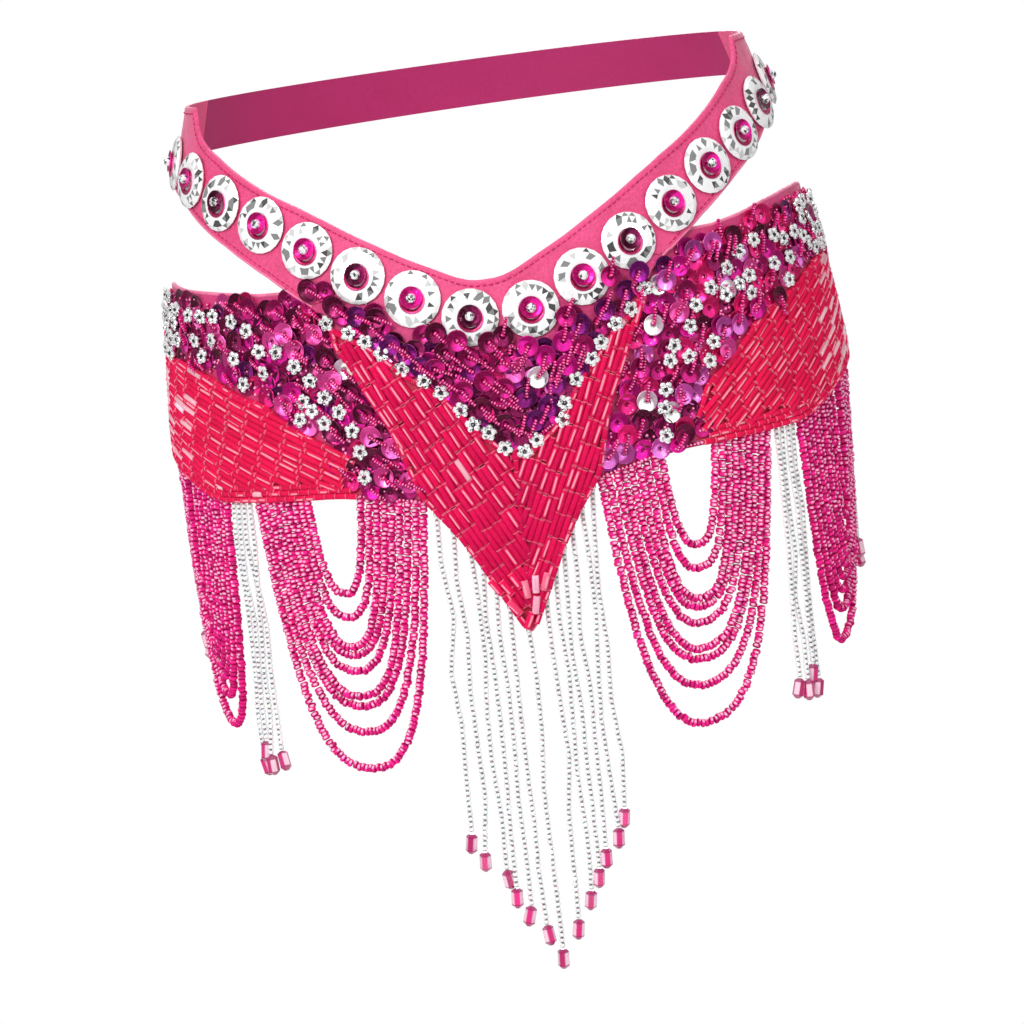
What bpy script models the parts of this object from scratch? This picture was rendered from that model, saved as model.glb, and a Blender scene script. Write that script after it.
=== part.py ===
"""Beaded belly dance hip belt as worn, its hollow form kept on a plain hip shape.

Metres. The front faces -Y, +X is the wearer's left and +Z is up. The origin is
the middle of the hips at the height of the outermost coins.
Angles are in degrees round the hips from the centre front, heights in mm.
"""
import math

import bpy
import numpy as np
from mathutils import Matrix, Vector

# Hip shape: an ellipse in every level section, drawn in above the hips
HALF_WIDTH = 0.1770
HALF_DEPTH = 0.1260
TAPER_FROM = -0.190
TAPER_WIDTH = 0.74
TAPER_DEPTH = 0.52
TILT = math.radians(2.0)                 # the wearer's left side is higher
TURN_HEIGHT = (-100.0, -70.0, -30.0)     # the lower cloth is turned a little
TURN_ANGLE = (-1.9, -1.0, 0.0)

# Cloth
WALL = 0.0020
GAP = 0.0003
UNDER = 0.0                              # layer of the hip panels
OVER = UNDER + WALL + GAP                # layer of the band and the centre panel
SEAM_ANGLE = 0.15
STRAP_LOW, STRAP_HIGH = 0.0, 25.5
STRAP_LEAN = 1.5                         # the top edge is lower on the wearer's left
BACK_SEAM = 110.0
HIP_END = 104.0
HIP_STRAP_LOW, HIP_STRAP_HIGH = -137.0, -106.0

# Edges of the cloth: angle, height
BAND_TOP = ((0, -75), (3, -75), (5, -72.5), (9, -66), (14, -59), (19, -51), (24.4, -43),
            (29.5, -35.2), (35.5, -27), (41.5, -20), (47.5, -12.5), (52, -6.8), (58.5, 1.5),
            (63.2, 6.5), (67, 11.5), (69.8, 17), (72, 23), (74, 27), (110, 27))
BAND_LOW = ((0, -99), (4.7, -98), (13.8, -87.5), (22.6, -76.5), (28, -74), (31, -76),
            (33.6, -74), (37, -68), (41.6, -60), (44, -56.5), (47, -52), (53, -43.5),
            (63, -31.5), (70, -23), (76, -17.5), (88, -12), (96, -7.5), (104, -2),
            (110, 0))
PANEL_LOW = ((0, -253), (1.2, -249), (3.5, -235), (6.3, -217), (8.9, -203), (11.1, -193),
             (12.6, -187), (14.6, -178), (15.8, -165), (17, -153), (18.1, -144),
             (19.7, -134), (21.6, -124), (24, -110), (26.4, -100), (27, -94), (28, -87),
             (29, -82.5), (31.5, -78))
# Hip panels: angle, height on the wearer's right, height on the left
HIP_TOP = ((14.1, -172, -172), (15, -158, -158), (16.5, -142, -142), (18.4, -126, -126),
           (20.8, -112, -112), (23.2, -101, -101), (24.8, -90, -90), (26, -80, -80), (29, -70, -70),
           (34, -68, -67),
           (37.5, -69.5, -66.5), (44, -69.5, -66.5), (52, -68, -64), (60, -66.7, -60.5),
           (70, -65.5, -58), (80, -63.5, -57), (90, -64, -59), (97, -76, -73),
           (104, -106, -106))
HIP_LOW = ((14.1, -180.5), (17, -178), (20, -176.5), (25, -173.5), (30, -172),
           (47, -171.5), (56, -171), (61, -168), (70, -160), (80, -153), (87, -150),
           (93, -146), (104, -137))

# Coins: 30 mm across, on a line along the band (distance round the hips, height)
COIN_RADIUS = 0.0150
COIN_PITCH = 0.0303
COINS_A_SIDE = 8
COIN_SIDES = 16
COIN_LINE = ((0, -94), (14.4, -92.5), (42.6, -80.5), (69.5, -67), (98.5, -52),
             (125.5, -37.5), (155.9, -25), (183.4, -14), (205, -6), (225, -1))
COIN_TURN = 2.2                          # the row of coins sits a little to the left
COIN_PROFILE = ((14.2, 0), (15, 0.8), (11.5, 3.0), (6.5, 3.0), (6.0, 4.0), (2.4, 4.2),
                (1.8, 6.0))               # radius, height in mm

# Fringe
STRIP_HEIGHT = 2.5
CENTRE_STRIP_HEIGHT = 8.0
STRAND = 0.0019
LOOP_STRAND = 0.0026
DROP = (0.0045, 0.0100)                   # width, length of the end bead
CENTRE_ANGLES = (-12.7, -10.3, -8.1, -6.3, -4.7, -3.0, -0.5, 3.1, 5.3, 7.1, 8.9, 10.9, 13.2)
CENTRE_LENGTH = 0.168
SIDE_ANGLES = (50.0, 51.6, 53.2, 54.7)
SIDE_LENGTHS = (0.131, 0.133, 0.126, 0.134)
REAR_ANGLES = (94.8, 97.2)
REAR_LENGTHS = (0.104, 0.112)
# Nested loops: distances round the hips of the innermost legs, steps of the next ones
FRONT_LOOPS = ((78.0, 108.0), (4.1, 4.0))
FRONT_DEPTHS = (49, 61, 76, 80, 88, 101, 106, 119, 138)
SIDE_LOOPS = ((195.5, 206.5), (4.0, 4.2))
SIDE_DEPTHS = (58, 70, 81, 89, 94, 100, 106, 116, 132)
LOOP_STEPS = 11
LOOP_FULLNESS = 0.88                     # under 1 makes a loop rounder than a free chain

PINK = (0.80, 0.06, 0.24)
MAGENTA = (0.45, 0.03, 0.15)
CORAL = (0.75, 0.03, 0.09)
SILVER = (0.80, 0.80, 0.82)


def height_at(table, angle, column=1):
    return float(np.interp(abs(angle), [r[0] for r in table], [r[column] for r in table]))


def half_axes(z):
    q = max(0.0, z - TAPER_FROM) ** 2
    return HALF_WIDTH - TAPER_WIDTH * q, HALF_DEPTH - TAPER_DEPTH * q


def on_hips(angle, z_mm, off):
    """Point of the cloth at an angle and height, moved out from the hips by off."""
    z = z_mm / 1000.0
    a, b = half_axes(z)
    t = math.radians(angle + float(np.interp(z_mm, TURN_HEIGHT, TURN_ANGLE)))
    n = Vector((math.sin(t) / a, -math.cos(t) / b, 0.0)).normalized()
    p = Vector((a * math.sin(t), -b * math.cos(t), z)) + n * off
    return Vector((p.x * math.cos(TILT) - p.z * math.sin(TILT), p.y,
                   p.x * math.sin(TILT) + p.z * math.cos(TILT)))


def strap_high(angle):
    return STRAP_HIGH - STRAP_LEAN * math.sin(math.radians(angle))


def angle_at(distance):
    """Angle of a distance in mm measured round the hips from the centre front."""
    t = np.radians(np.arange(0.0, 181.0, 0.5))
    speed = np.hypot(HALF_WIDTH * np.cos(t), HALF_DEPTH * np.sin(t)) * 1000.0
    run = np.concatenate(([0.0], np.cumsum((speed[1:] + speed[:-1]) / 2 * np.diff(t))))
    return float(np.degrees(np.interp(distance, run, t)))


def make_material(name, colour, roughness, metallic=0.0):
    mat = bpy.data.materials.new(name)
    mat.use_nodes = True
    shader = mat.node_tree.nodes["Principled BSDF"]
    shader.inputs["Base Color"].default_value = (*colour, 1.0)
    shader.inputs["Roughness"].default_value = roughness
    shader.inputs["Metallic"].default_value = metallic
    mat.diffuse_color = (*colour, 1.0)
    return mat


def add_object(name, verts, faces, material):
    mesh = bpy.data.meshes.new(name)
    mesh.from_pydata([tuple(v) for v in verts], [], faces)
    mesh.validate()
    mesh.materials.append(material)
    obj = bpy.data.objects.new(name, mesh)
    bpy.context.scene.collection.objects.link(obj)
    return obj


def steps(first, last, marks, widest):
    """Angles from first to last through every mark, no step wider than widest."""
    stops = sorted({first, last, *[m for m in marks if first + 0.2 < m < last - 0.2]})
    out = [first]
    for a, b in zip(stops, stops[1:]):
        n = max(1, math.ceil((b - a) / widest))
        out += [a + (b - a) * k / n for k in range(1, n + 1)]
    return out


def cloth(name, angles, low, high, off, rows, material):
    """Closed wall between two edges, from points on the hips and points moved out."""
    verts, faces = [], []
    n = len(angles)
    for layer in (off, off + WALL):
        for angle in angles:
            bottom, top = low(angle), high(angle)
            verts += [on_hips(angle, bottom + (top - bottom) * r / rows, layer)
                      for r in range(rows + 1)]

    def index(layer, col, row):
        return (layer * n + col) * (rows + 1) + row

    for c in range(n - 1):
        for r in range(rows):
            inner = [index(0, c, r), index(0, c, r + 1), index(0, c + 1, r + 1),
                     index(0, c + 1, r)]
            faces += [inner, [index(1, c, r), index(1, c + 1, r), index(1, c + 1, r + 1),
                              index(1, c, r + 1)]]
        faces.append([index(0, c, 0), index(0, c + 1, 0), index(1, c + 1, 0), index(1, c, 0)])
        faces.append([index(0, c, rows), index(1, c, rows), index(1, c + 1, rows),
                      index(0, c + 1, rows)])
    for r in range(rows):
        faces.append([index(0, 0, r), index(1, 0, r), index(1, 0, r + 1), index(0, 0, r + 1)])
        faces.append([index(0, n - 1, r), index(0, n - 1, r + 1), index(1, n - 1, r + 1),
                      index(1, n - 1, r)])
    return add_object(name, verts, faces, material)


def coin_places():
    """Centres and outward directions of the coins on one side, evenly pitched."""
    marks = [(angle_at(d), z) for d, z in COIN_LINE]
    places = []
    for side in (-1, 1):
        last, need = on_hips(COIN_TURN, COIN_LINE[0][1], OVER + WALL), COIN_PITCH / 2
        for k in range(1, 1000):
            angle = 0.1 * k
            p = on_hips(side * angle + COIN_TURN, height_at(marks, angle), OVER + WALL)
            if (p - last).length >= need:
                z = height_at(marks, angle)
                turned = side * angle + COIN_TURN
                across = on_hips(turned + 1, z, OVER) - on_hips(turned - 1, z, OVER)
                up = on_hips(turned, z + 2, OVER) - on_hips(turned, z - 2, OVER)
                places.append((p, across.normalized(), across.cross(up).normalized()))
                last, need = p, COIN_PITCH
                if len(places) % COINS_A_SIDE == 0:
                    break
    return places


def coin(name, place, across, out, material):
    up = out.cross(across).normalized()
    turn = Matrix((across, up, out)).transposed()
    verts = []
    for radius, height in COIN_PROFILE:
        for k in range(COIN_SIDES):
            a = 2 * math.pi * k / COIN_SIDES
            local = Vector((radius * math.cos(a), radius * math.sin(a), height)) / 1000.0
            verts.append(place + out * GAP + turn @ local)
    faces = [list(range(COIN_SIDES))[::-1],
             [(len(COIN_PROFILE) - 1) * COIN_SIDES + k for k in range(COIN_SIDES)]]
    for ring in range(len(COIN_PROFILE) - 1):
        for k in range(COIN_SIDES):
            a, b = ring * COIN_SIDES + k, ring * COIN_SIDES + (k + 1) % COIN_SIDES
            faces.append([a, b, b + COIN_SIDES, a + COIN_SIDES])
    return add_object(name, verts, faces, material)


def catenary(half, depth):
    """Points (-1..1 along the chord, 0..1 of the depth) of a hanging loop."""
    low, high = half / 20.0, half * 20.0
    for _ in range(60):
        c = math.sqrt(low * high)
        if c * (math.cosh(min(half / c, 50.0)) - 1) > depth:
            low = c
        else:
            high = c
    end = math.atan(math.sinh(half / c))
    points = []
    for k in range(1, LOOP_STEPS):
        x = c * math.asinh(math.tan(end * (2.0 * k / LOOP_STEPS - 1)))
        along = math.copysign(abs(x / half) ** LOOP_FULLNESS, x)
        points.append((along, 1 - (math.cosh(x / c) - 1) / (math.cosh(half / c) - 1)))
    return points


def fringe(name, first, last, low, high, off, roots, width, hang, material):
    """Strands fused to a narrow strip that follows the edge of the cloth.

    hang is a list of (root, length) for straight strands with an end bead and of
    (root, root, depth) for loops, where a root is an index into roots.
    """
    thick = width
    verts, faces, root_rings = [], [], []
    half = []
    for r in roots:
        speed = (on_hips(r + 0.5, low(r), off) - on_hips(r - 0.5, low(r), off)).length
        half.append(width / speed / 2)
    ends = sorted([(r - h, r + h) for r, h in zip(roots, half)])
    angles, is_root = [first], []
    for a, b in ends + [(last, None)]:
        n = max(1, math.ceil((a - angles[-1]) / 4.0))
        start = angles[-1]
        for k in range(1, n + 1):
            angles.append(start + (a - start) * k / n)
            is_root.append(False)
        if b is not None:
            angles.append(b)
            is_root.append(True)
    for angle in angles:
        verts += [on_hips(angle, high(angle), off + thick), on_hips(angle, high(angle), off),
                  on_hips(angle, low(angle), off), on_hips(angle, low(angle), off + thick)]
    for c, root in enumerate(is_root):
        i, j = 4 * c, 4 * c + 4
        faces += [[i, j, j + 1, i + 1], [i, i + 3, j + 3, j], [i + 1, j + 1, j + 2, i + 2]]
        if root:
            root_rings.append([i + 2, i + 3, j + 3, j + 2])
        else:
            faces.append([i + 2, j + 2, j + 3, i + 3])
    faces += [[0, 1, 2, 3], [4 * len(is_root) + k for k in (3, 2, 1, 0)]]

    def join(a, b):
        for k in range(4):
            m = (k + 1) % 4
            faces.append([a[k], b[k], b[m], a[m]])

    def ring(centre, side, out, w, t):
        """Corners in the order of a root ring: low side in, out, high side out, in."""
        verts.extend([centre - side * w - out * t, centre - side * w + out * t,
                      centre + side * w + out * t, centre + side * w - out * t])
        return list(range(len(verts) - 4, len(verts)))

    def middle(ids):
        return sum((verts[i] for i in ids), Vector()) / 4

    down = Vector((0, 0, -1))
    for item in hang:
        if len(item) == 2:
            top = root_rings[item[0]]
            centre = middle(top)
            side = verts[top[2]] - verts[top[1]]
            side.z = 0
            side.normalize()
            out = side.cross(Vector((0, 0, 1)))
            w = width / 2
            previous = top
            for drop_by, size in ((item[1], w), (item[1] + 0.0006, DROP[0] / 2),
                                  (item[1] + DROP[1] * 0.8, DROP[0] / 2),
                                  (item[1] + DROP[1], DROP[0] / 4)):
                now = ring(centre + down * drop_by, side, out, size, size)
                join(previous, now)
                previous = now
            faces.append(previous[::-1])
            continue
        start, finish = root_rings[item[0]], root_rings[item[1]]
        a, b = middle(start), middle(finish)
        chord = Vector((b.x - a.x, b.y - a.y, 0))
        span = chord.length
        chord.normalize()
        out = chord.cross(Vector((0, 0, 1)))
        previous, path = start, [a]
        shape = catenary(span / 2, item[2])
        for along, drop_by in shape:
            p = a.lerp(b, (along + 1) / 2)
            path.append(p + down * item[2] * drop_by)
        path.append(b)
        for k in range(1, len(path) - 1):
            along = (path[k + 1] - path[k - 1]).normalized()
            side = out.cross(along)
            now = ring(path[k], side, out, width / 2, thick / 2)
            join(previous, now)
            previous = now
        join(previous, [finish[3], finish[2], finish[1], finish[0]])
    return add_object(name, verts, faces, material)


def hip_fringe(name, side, first, last, roots, width, hang, material):
    """Fringe below one hip panel; roots run away from the centre front."""
    def high(angle):
        return height_at(HIP_LOW, angle) - GAP * 1000

    def low(angle):
        return high(angle) - STRIP_HEIGHT

    order = sorted(range(len(roots)), key=lambda k: side * roots[k])
    rank = {k: n for n, k in enumerate(order)}
    signed = [side * roots[k] for k in order]
    items = []
    for item in hang:
        if len(item) == 2:
            items.append((rank[item[0]], item[1]))
        else:
            a, b = sorted((rank[item[0]], rank[item[1]]))
            items.append((a, b, item[2]))
    ends = sorted((side * first, side * last))
    off = UNDER + WALL - width - 0.0001
    return fringe(name, ends[0], ends[1], low, high, off, signed, width, items, material)


def loop_roots(loops, depths):
    (inner, outer), (step_in, step_out) = loops
    roots = [angle_at(inner - step_in * k) for k in range(len(depths))]
    roots += [angle_at(outer + step_out * k) for k in range(len(depths))]
    hang = [(k, k + len(depths), d / 1000.0) for k, d in enumerate(depths)]
    return roots, hang


def build():
    for obj in list(bpy.data.objects):
        bpy.data.objects.remove(obj, do_unlink=True)
    satin = make_material("satin", PINK, 0.45)
    lining = make_material("strap_cloth", MAGENTA, 0.6)
    beaded = make_material("beaded_cloth", CORAL, 0.4)
    stone = make_material("coin_stone", SILVER, 0.15)
    pink_bead = make_material("pink_bead", PINK, 0.25)
    clear_bead = make_material("clear_bead", SILVER, 0.2)

    def mirrored(table):
        return [s * r[0] for r in table for s in (-1, 1)]

    cloth("front_band", steps(-BACK_SEAM + SEAM_ANGLE, BACK_SEAM - SEAM_ANGLE,
                              mirrored(BAND_TOP[::2]) + mirrored(BAND_LOW), 5.0),
          lambda a: height_at(BAND_LOW, a),
          lambda a: min(height_at(BAND_TOP, a), strap_high(a)), OVER, 3, satin)
    cloth("back_strap", steps(BACK_SEAM, 360 - BACK_SEAM, (), 5.0),
          lambda a: STRAP_LOW, strap_high, OVER, 1, lining)
    end = PANEL_LOW[-1][0]
    cloth("centre_panel", steps(-end, end, mirrored(PANEL_LOW + BAND_LOW), 3.0),
          lambda a: height_at(PANEL_LOW, a),
          lambda a: height_at(BAND_LOW, a) - GAP * 1000, OVER, 6, beaded)
    for side, word, column in ((-1, "right", 1), (1, "left", 2)):
        ends = sorted((side * HIP_TOP[0][0], side * HIP_END))
        cloth("hip_panel_" + word,
              steps(ends[0], ends[1], [side * r[0] for r in HIP_TOP + HIP_LOW], 5.0),
              lambda a: height_at(HIP_LOW, a),
              lambda a, column=column: height_at(HIP_TOP, a, column), UNDER, 5, beaded)
    cloth("back_hip_strap", steps(HIP_END + SEAM_ANGLE, 360 - HIP_END - SEAM_ANGLE, (), 5.0),
          lambda a: HIP_STRAP_LOW, lambda a: HIP_STRAP_HIGH, UNDER, 1, lining)

    for k, (place, across, out) in enumerate(coin_places()):
        coin("coin_%02d" % (k + 1), place, across, out, stone)

    fringe("centre_fringe", -13.7, 13.7,
           lambda a: height_at(PANEL_LOW, a) + 1.0,
           lambda a: height_at(PANEL_LOW, a) + 1.0 + CENTRE_STRIP_HEIGHT,
           UNDER, CENTRE_ANGLES, STRAND,
           [(k, CENTRE_LENGTH) for k in range(len(CENTRE_ANGLES))], clear_bead)
    for side, word in ((-1, "right"), (1, "left")):
        roots, hang = loop_roots(FRONT_LOOPS, FRONT_DEPTHS)
        hip_fringe("front_loops_" + word, side, min(roots) - 0.8, max(roots) + 0.6, roots,
                   LOOP_STRAND, hang, pink_bead)
        hip_fringe("side_strands_" + word, side, SIDE_ANGLES[0] - 0.5, SIDE_ANGLES[-1] + 0.5,
                   SIDE_ANGLES, STRAND, list(enumerate(SIDE_LENGTHS)), clear_bead)
        roots, hang = loop_roots(SIDE_LOOPS, SIDE_DEPTHS)
        hip_fringe("side_loops_" + word, side, min(roots) - 0.6, max(roots) + 0.6, roots,
                   LOOP_STRAND, hang, pink_bead)
        hip_fringe("rear_strands_" + word, side, REAR_ANGLES[0] - 0.6, REAR_ANGLES[-1] + 0.6,
                   REAR_ANGLES, STRAND, list(enumerate(REAR_LENGTHS)), clear_bead)


build()
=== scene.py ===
"""Dressed model of a beaded belly dance hip belt, in the hollow form it has when worn.

Metres, +Z up, the front faces -Y. Places on the cloth are an angle round the hips in
degrees from the centre front (+ is the wearer's left) and a height in mm.
"""
import math

import bmesh
import bpy
import numpy as np
from mathutils import Matrix, Vector


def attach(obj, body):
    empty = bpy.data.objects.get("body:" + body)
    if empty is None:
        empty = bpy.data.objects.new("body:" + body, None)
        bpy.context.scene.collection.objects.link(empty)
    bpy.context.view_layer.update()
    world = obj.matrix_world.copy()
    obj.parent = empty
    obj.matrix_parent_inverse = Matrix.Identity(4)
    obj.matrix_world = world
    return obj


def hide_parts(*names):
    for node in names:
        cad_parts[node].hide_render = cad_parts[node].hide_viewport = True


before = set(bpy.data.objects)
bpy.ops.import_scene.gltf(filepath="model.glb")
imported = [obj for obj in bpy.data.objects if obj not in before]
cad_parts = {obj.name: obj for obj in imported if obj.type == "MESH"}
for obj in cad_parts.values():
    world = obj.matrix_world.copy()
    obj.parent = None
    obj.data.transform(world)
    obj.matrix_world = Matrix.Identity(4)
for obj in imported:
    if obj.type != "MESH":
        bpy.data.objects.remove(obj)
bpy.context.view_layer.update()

bl_info = {
    "name": "Beaded Hip Belt",
    "version": (1, 0, 0),
    "blender": (4, 5, 0),
    "location": "View3D > Sidebar > Hip Belt",
    "description": "Builds the cloth, beadwork and fringe of a belly dance hip belt",
    "category": "Object",
}

# Hip shape, as in the solids
HALF_WIDTH, HALF_DEPTH = 0.1770, 0.1260
TAPER_FROM, TAPER_WIDTH, TAPER_DEPTH = -0.190, 0.74, 0.52
TILT = math.radians(2.0)
TURN_HEIGHT, TURN_ANGLE = (-100.0, -70.0, -30.0), (-1.9, -1.0, 0.0)
WALL, GAP = 0.0020, 0.0003
UNDER = 0.0
OVER = UNDER + WALL + GAP
SEAM_ANGLE = 0.15
STRAP_LOW, STRAP_HIGH, STRAP_LEAN = 0.0, 25.5, 1.5
BACK_SEAM, HIP_END = 110.0, 104.0
HIP_STRAP_LOW, HIP_STRAP_HIGH = -137.0, -106.0
# Width of the turned hems, and a height below every edge (mm)
BAND_HEM, STRAP_HEM = 2.9, 2.6
FAR_BELOW = -999.0

# Edges of the cloth: angle, height
BAND_TOP = ((0, -74.3), (1.5, -74.2), (3, -73.5), (5, -71.5), (7, -68.7), (9, -65.7), (14, -58.8),
            (19, -51), (24.4, -43), (29.5, -35.2), (35.5, -27), (41.5, -20), (47.5, -12.5),
            (52, -6.8), (58.5, 1.5), (63.2, 6.5), (67, 11.5), (69.8, 17), (72, 23), (74, 27),
            (110, 27))
BAND_LOW = ((0, -99), (4.7, -98), (13.8, -87.5), (22.6, -76.5), (28, -74), (31, -76),
            (33.6, -74), (37, -68), (41.6, -60), (44, -56.5), (47, -52), (53, -43.5),
            (63, -31.5), (70, -23), (76, -17.5), (88, -12), (96, -7.5), (104, -2), (110, 0))
PANEL_LOW = ((0, -253), (1.2, -249), (3.5, -235), (6.3, -217), (8.9, -203), (11.1, -193),
             (12.6, -187), (14.6, -178), (15.8, -165), (17, -153), (18.1, -144),
             (19.7, -134), (21.6, -124), (24, -110), (26.4, -100), (27, -94), (28, -87),
             (29, -82.5), (31.5, -78))
# Hip panels: angle, height on the wearer's right, height on the left
HIP_TOP = ((14.1, -172, -172), (15, -158, -158), (16.5, -142, -142), (18.4, -126, -126),
           (20.8, -112, -112), (23.2, -101, -101), (24.8, -90, -90), (26, -80, -80),
           (29, -70, -70), (34, -68, -67), (37.5, -69.5, -66.5), (44, -69.5, -66.5),
           (52, -68, -64), (60, -66.7, -60.5), (70, -65.5, -58), (80, -63.5, -57),
           (90, -64, -59), (97, -76, -73), (104, -106, -106))
HIP_LOW = ((14.1, -180.5), (17, -178), (20, -176.5), (25, -173.5), (30, -172),
           (47, -171.5), (56, -171), (61, -168), (70, -160), (80, -153), (87, -150),
           (93, -146), (104, -137))
# Borders inside the panels: angle, height; the leaf for each hip
CHEVRON_TOP = ((-28, -87.5), (-24, -94), (-21, -99), (-18.2, -106), (-15, -115), (-11.5, -122),
               (-9, -129), (-6.2, -139), (-4.5, -147), (-2.2, -153), (0, -160.5), (1.5, -163),
               (3, -163.5), (5.2, -159), (9, -150), (10.8, -143), (13, -132.5), (16, -123.5),
               (18, -116), (21, -108), (24.2, -101), (26.5, -93), (28, -86.5))
LEAF_TOP = {
    -1: ((24.9, -172), (25.1, -156.5), (31, -146.5), (37.5, -135.5), (43, -124.5), (49, -119),
         (57, -109.5), (66, -103), (79, -99), (89, -96.5), (104, -110)),
    1: ((32.6, -172), (33, -159.5), (36.2, -143.5), (42.5, -133), (50.5, -116), (61.8, -106.5),
        (75.8, -95), (92, -95), (104, -110)),
}
# Stones and sequins whose places show: angle, height, and the number of a sequin's colour
CHEVRON_STONES = (
    (-28.2, -86), (-24, -92), (-21, -97), (-18.2, -104), (-15, -113), (-11.5, -120), (-9, -127),
    (-6.2, -137), (-4.5, -145), (-2.2, -150), (0, -159), (3, -162), (5.2, -157), (9.8, -149),
    (10.5, -141), (13, -130), (16, -121), (18, -114), (21, -106), (24.2, -100), (27, -91),
)
HIP_STONES = {
    -1: ((65.2, -77), (60.2, -78), (55.8, -78), (50.2, -81), (46, -86), (62.2, -90), (56, -90),
         (59.2, -98), (49.2, -100), (42.8, -97), (38.8, -98), (35, -106), (32, -114), (47, -113),
         (42, -108), (33.8, -124), (29.5, -123), (34.8, -133), (32.2, -129), (27, -131),
         (30, -136), (25, -141), (24, -152), (23.8, -165)),
    1: ((48, -82), (52.5, -78), (58.8, -78), (66.5, -79), (44.5, -89), (49.5, -95), (40.2, -97),
        (57, -92), (62.5, -91), (60.5, -102), (43.2, -102), (49.2, -104), (46.8, -98),
        (36.5, -104), (34.5, -114), (38.5, -124), (30.8, -122), (29.5, -129), (33.2, -129),
        (37, -133), (27.8, -143), (27, -152), (26.5, -166), (61.8, -81)),
}
HIP_SEQUINS = {
    -1: ((37.2, -89, 4), (31, -91, 4), (34.8, -98, 4), (38, -125, 4), (36, -119, 3),
         (18.5, -152, 4), (20.5, -166, 4), (16.2, -170, 4), (27.8, -115, 4), (25.5, -110, 6),
         (22, -145, 4), (35, -82, 0), (28.8, -103, 0), (24.8, -121, 0), (45.8, -75, 1),
         (39.2, -77, 1), (22.8, -133, 0), (28.8, -140, 0), (21.8, -156, 0), (18.5, -168, 0)),
    1: ((38, -77, 5), (42.2, -75, 5), (31.5, -89, 5), (42.2, -84, 0), (47.8, -74, 0),
        (27.8, -110, 6), (33, -106, 4), (35.2, -96, 1), (41.5, -118, 5), (44.8, -118, 5),
        (41.2, -129, 4), (32.8, -137, 1), (31, -147, 5), (24.2, -147, 6), (23, -156, 0),
        (30, -167, 0), (16.2, -172, 5), (19, -171, 5), (56.5, -109, 0), (24, -130, 1),
        (21.5, -140, 3), (49.8, -112, 3)),
}
CENTRE_SEQUINS = (
    (-32, -68, 0), (-26.5, -78, 0), (-22.5, -84, 2), (-19, -86, 0), (-8.8, -97, 0),
    (-19.8, -90, 0), (-16.5, -100, 2), (-13.8, -106, 2), (-11.8, -113, 2), (-9.5, -115, 1),
    (-7.5, -107, 0), (-8.5, -121, 0), (-0.2, -105, 0), (2.2, -103, 0), (3.2, -122, 4),
    (6.8, -126, 6), (12.8, -98, 1), (19.5, -98, 2), (15, -103, 2), (-2.8, -137, 0),
    (0.5, -134, 1), (-5.5, -128, 1), (2.8, -153, 0), (0.5, -147, 0), (-3.8, -111, 1),
    (-1.8, -124, 1), (1.2, -129, 1), (4.5, -135, 2), (7.8, -141, 2), (5.5, -147, 2),
    (9.5, -130, 2), (11.8, -122, 3), (8.5, -116, 3), (6, -110, 3), (11.8, -110, 3),
    (1.2, -116, 1), (-5.2, -102, 1), (15, -114, 1), (21, -82, 1), (26, -82, 2),
)
# Larger clear tubes at the point of the centre panel: angle, height, slope, paleness
TIP_TUBES = (
    (-4.6, -228, -56, 0.0), (-2.9, -229, -56, 0.0), (-1.4, -226, -60, 0.0), (0.1, -231, -84, 0.4),
    (1.7, -229, 84, 1.0), (3.3, -228.5, 68, 0.3), (-2.1, -239.5, -52, 0.1), (1.3, -239.5, 76, 0.8),
    (-0.1, -247, 62, 0.0),
)

# Coins: pitch in metres, number on each side, turn in degrees, radius in mm
COIN_PITCH, COINS_A_SIDE, COIN_TURN, COIN_RADIUS = 0.0303, 8, 2.2, 14.5
# Metres from a coin's middle: sequins nearer than the first are raised or left out, and no
# line of beads ends nearer than the second
NEAR_COIN, LINES_END = 0.0185, 0.0155
# The line that the coins follow: distance round the hips and height
COIN_LINE = ((0, -94), (14.4, -92.5), (42.6, -80.5), (69.5, -67), (98.5, -52),
             (125.5, -37.5), (155.9, -25), (183.4, -14), (205, -6), (225, -1))

# Fringe
STRIP_HEIGHT, CENTRE_STRIP_HEIGHT = 2.5, 8.0
STRAND, LOOP_STRAND = 0.0019, 0.0026
CENTRE_ANGLES = (-12.7, -10.3, -8.1, -6.3, -4.7, -3.0, -0.5, 3.1, 5.3, 7.1, 8.9, 10.9, 13.2)
CENTRE_LENGTH = 0.168
SIDE_ANGLES, SIDE_LENGTHS = (50.0, 51.6, 53.2, 54.7), (0.131, 0.133, 0.126, 0.134)
REAR_ANGLES, REAR_LENGTHS = (94.8, 97.2), (0.104, 0.112)
FRONT_LOOPS = ((78.0, 108.0), (4.1, 4.0))
FRONT_DEPTHS = (49, 61, 76, 80, 88, 101, 106, 119, 138)
SIDE_LOOPS = ((195.5, 206.5), (4.0, 4.2))
SIDE_DEPTHS = (58, 70, 81, 89, 94, 100, 106, 116, 132)
LOOP_FULLNESS = 0.88

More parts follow.
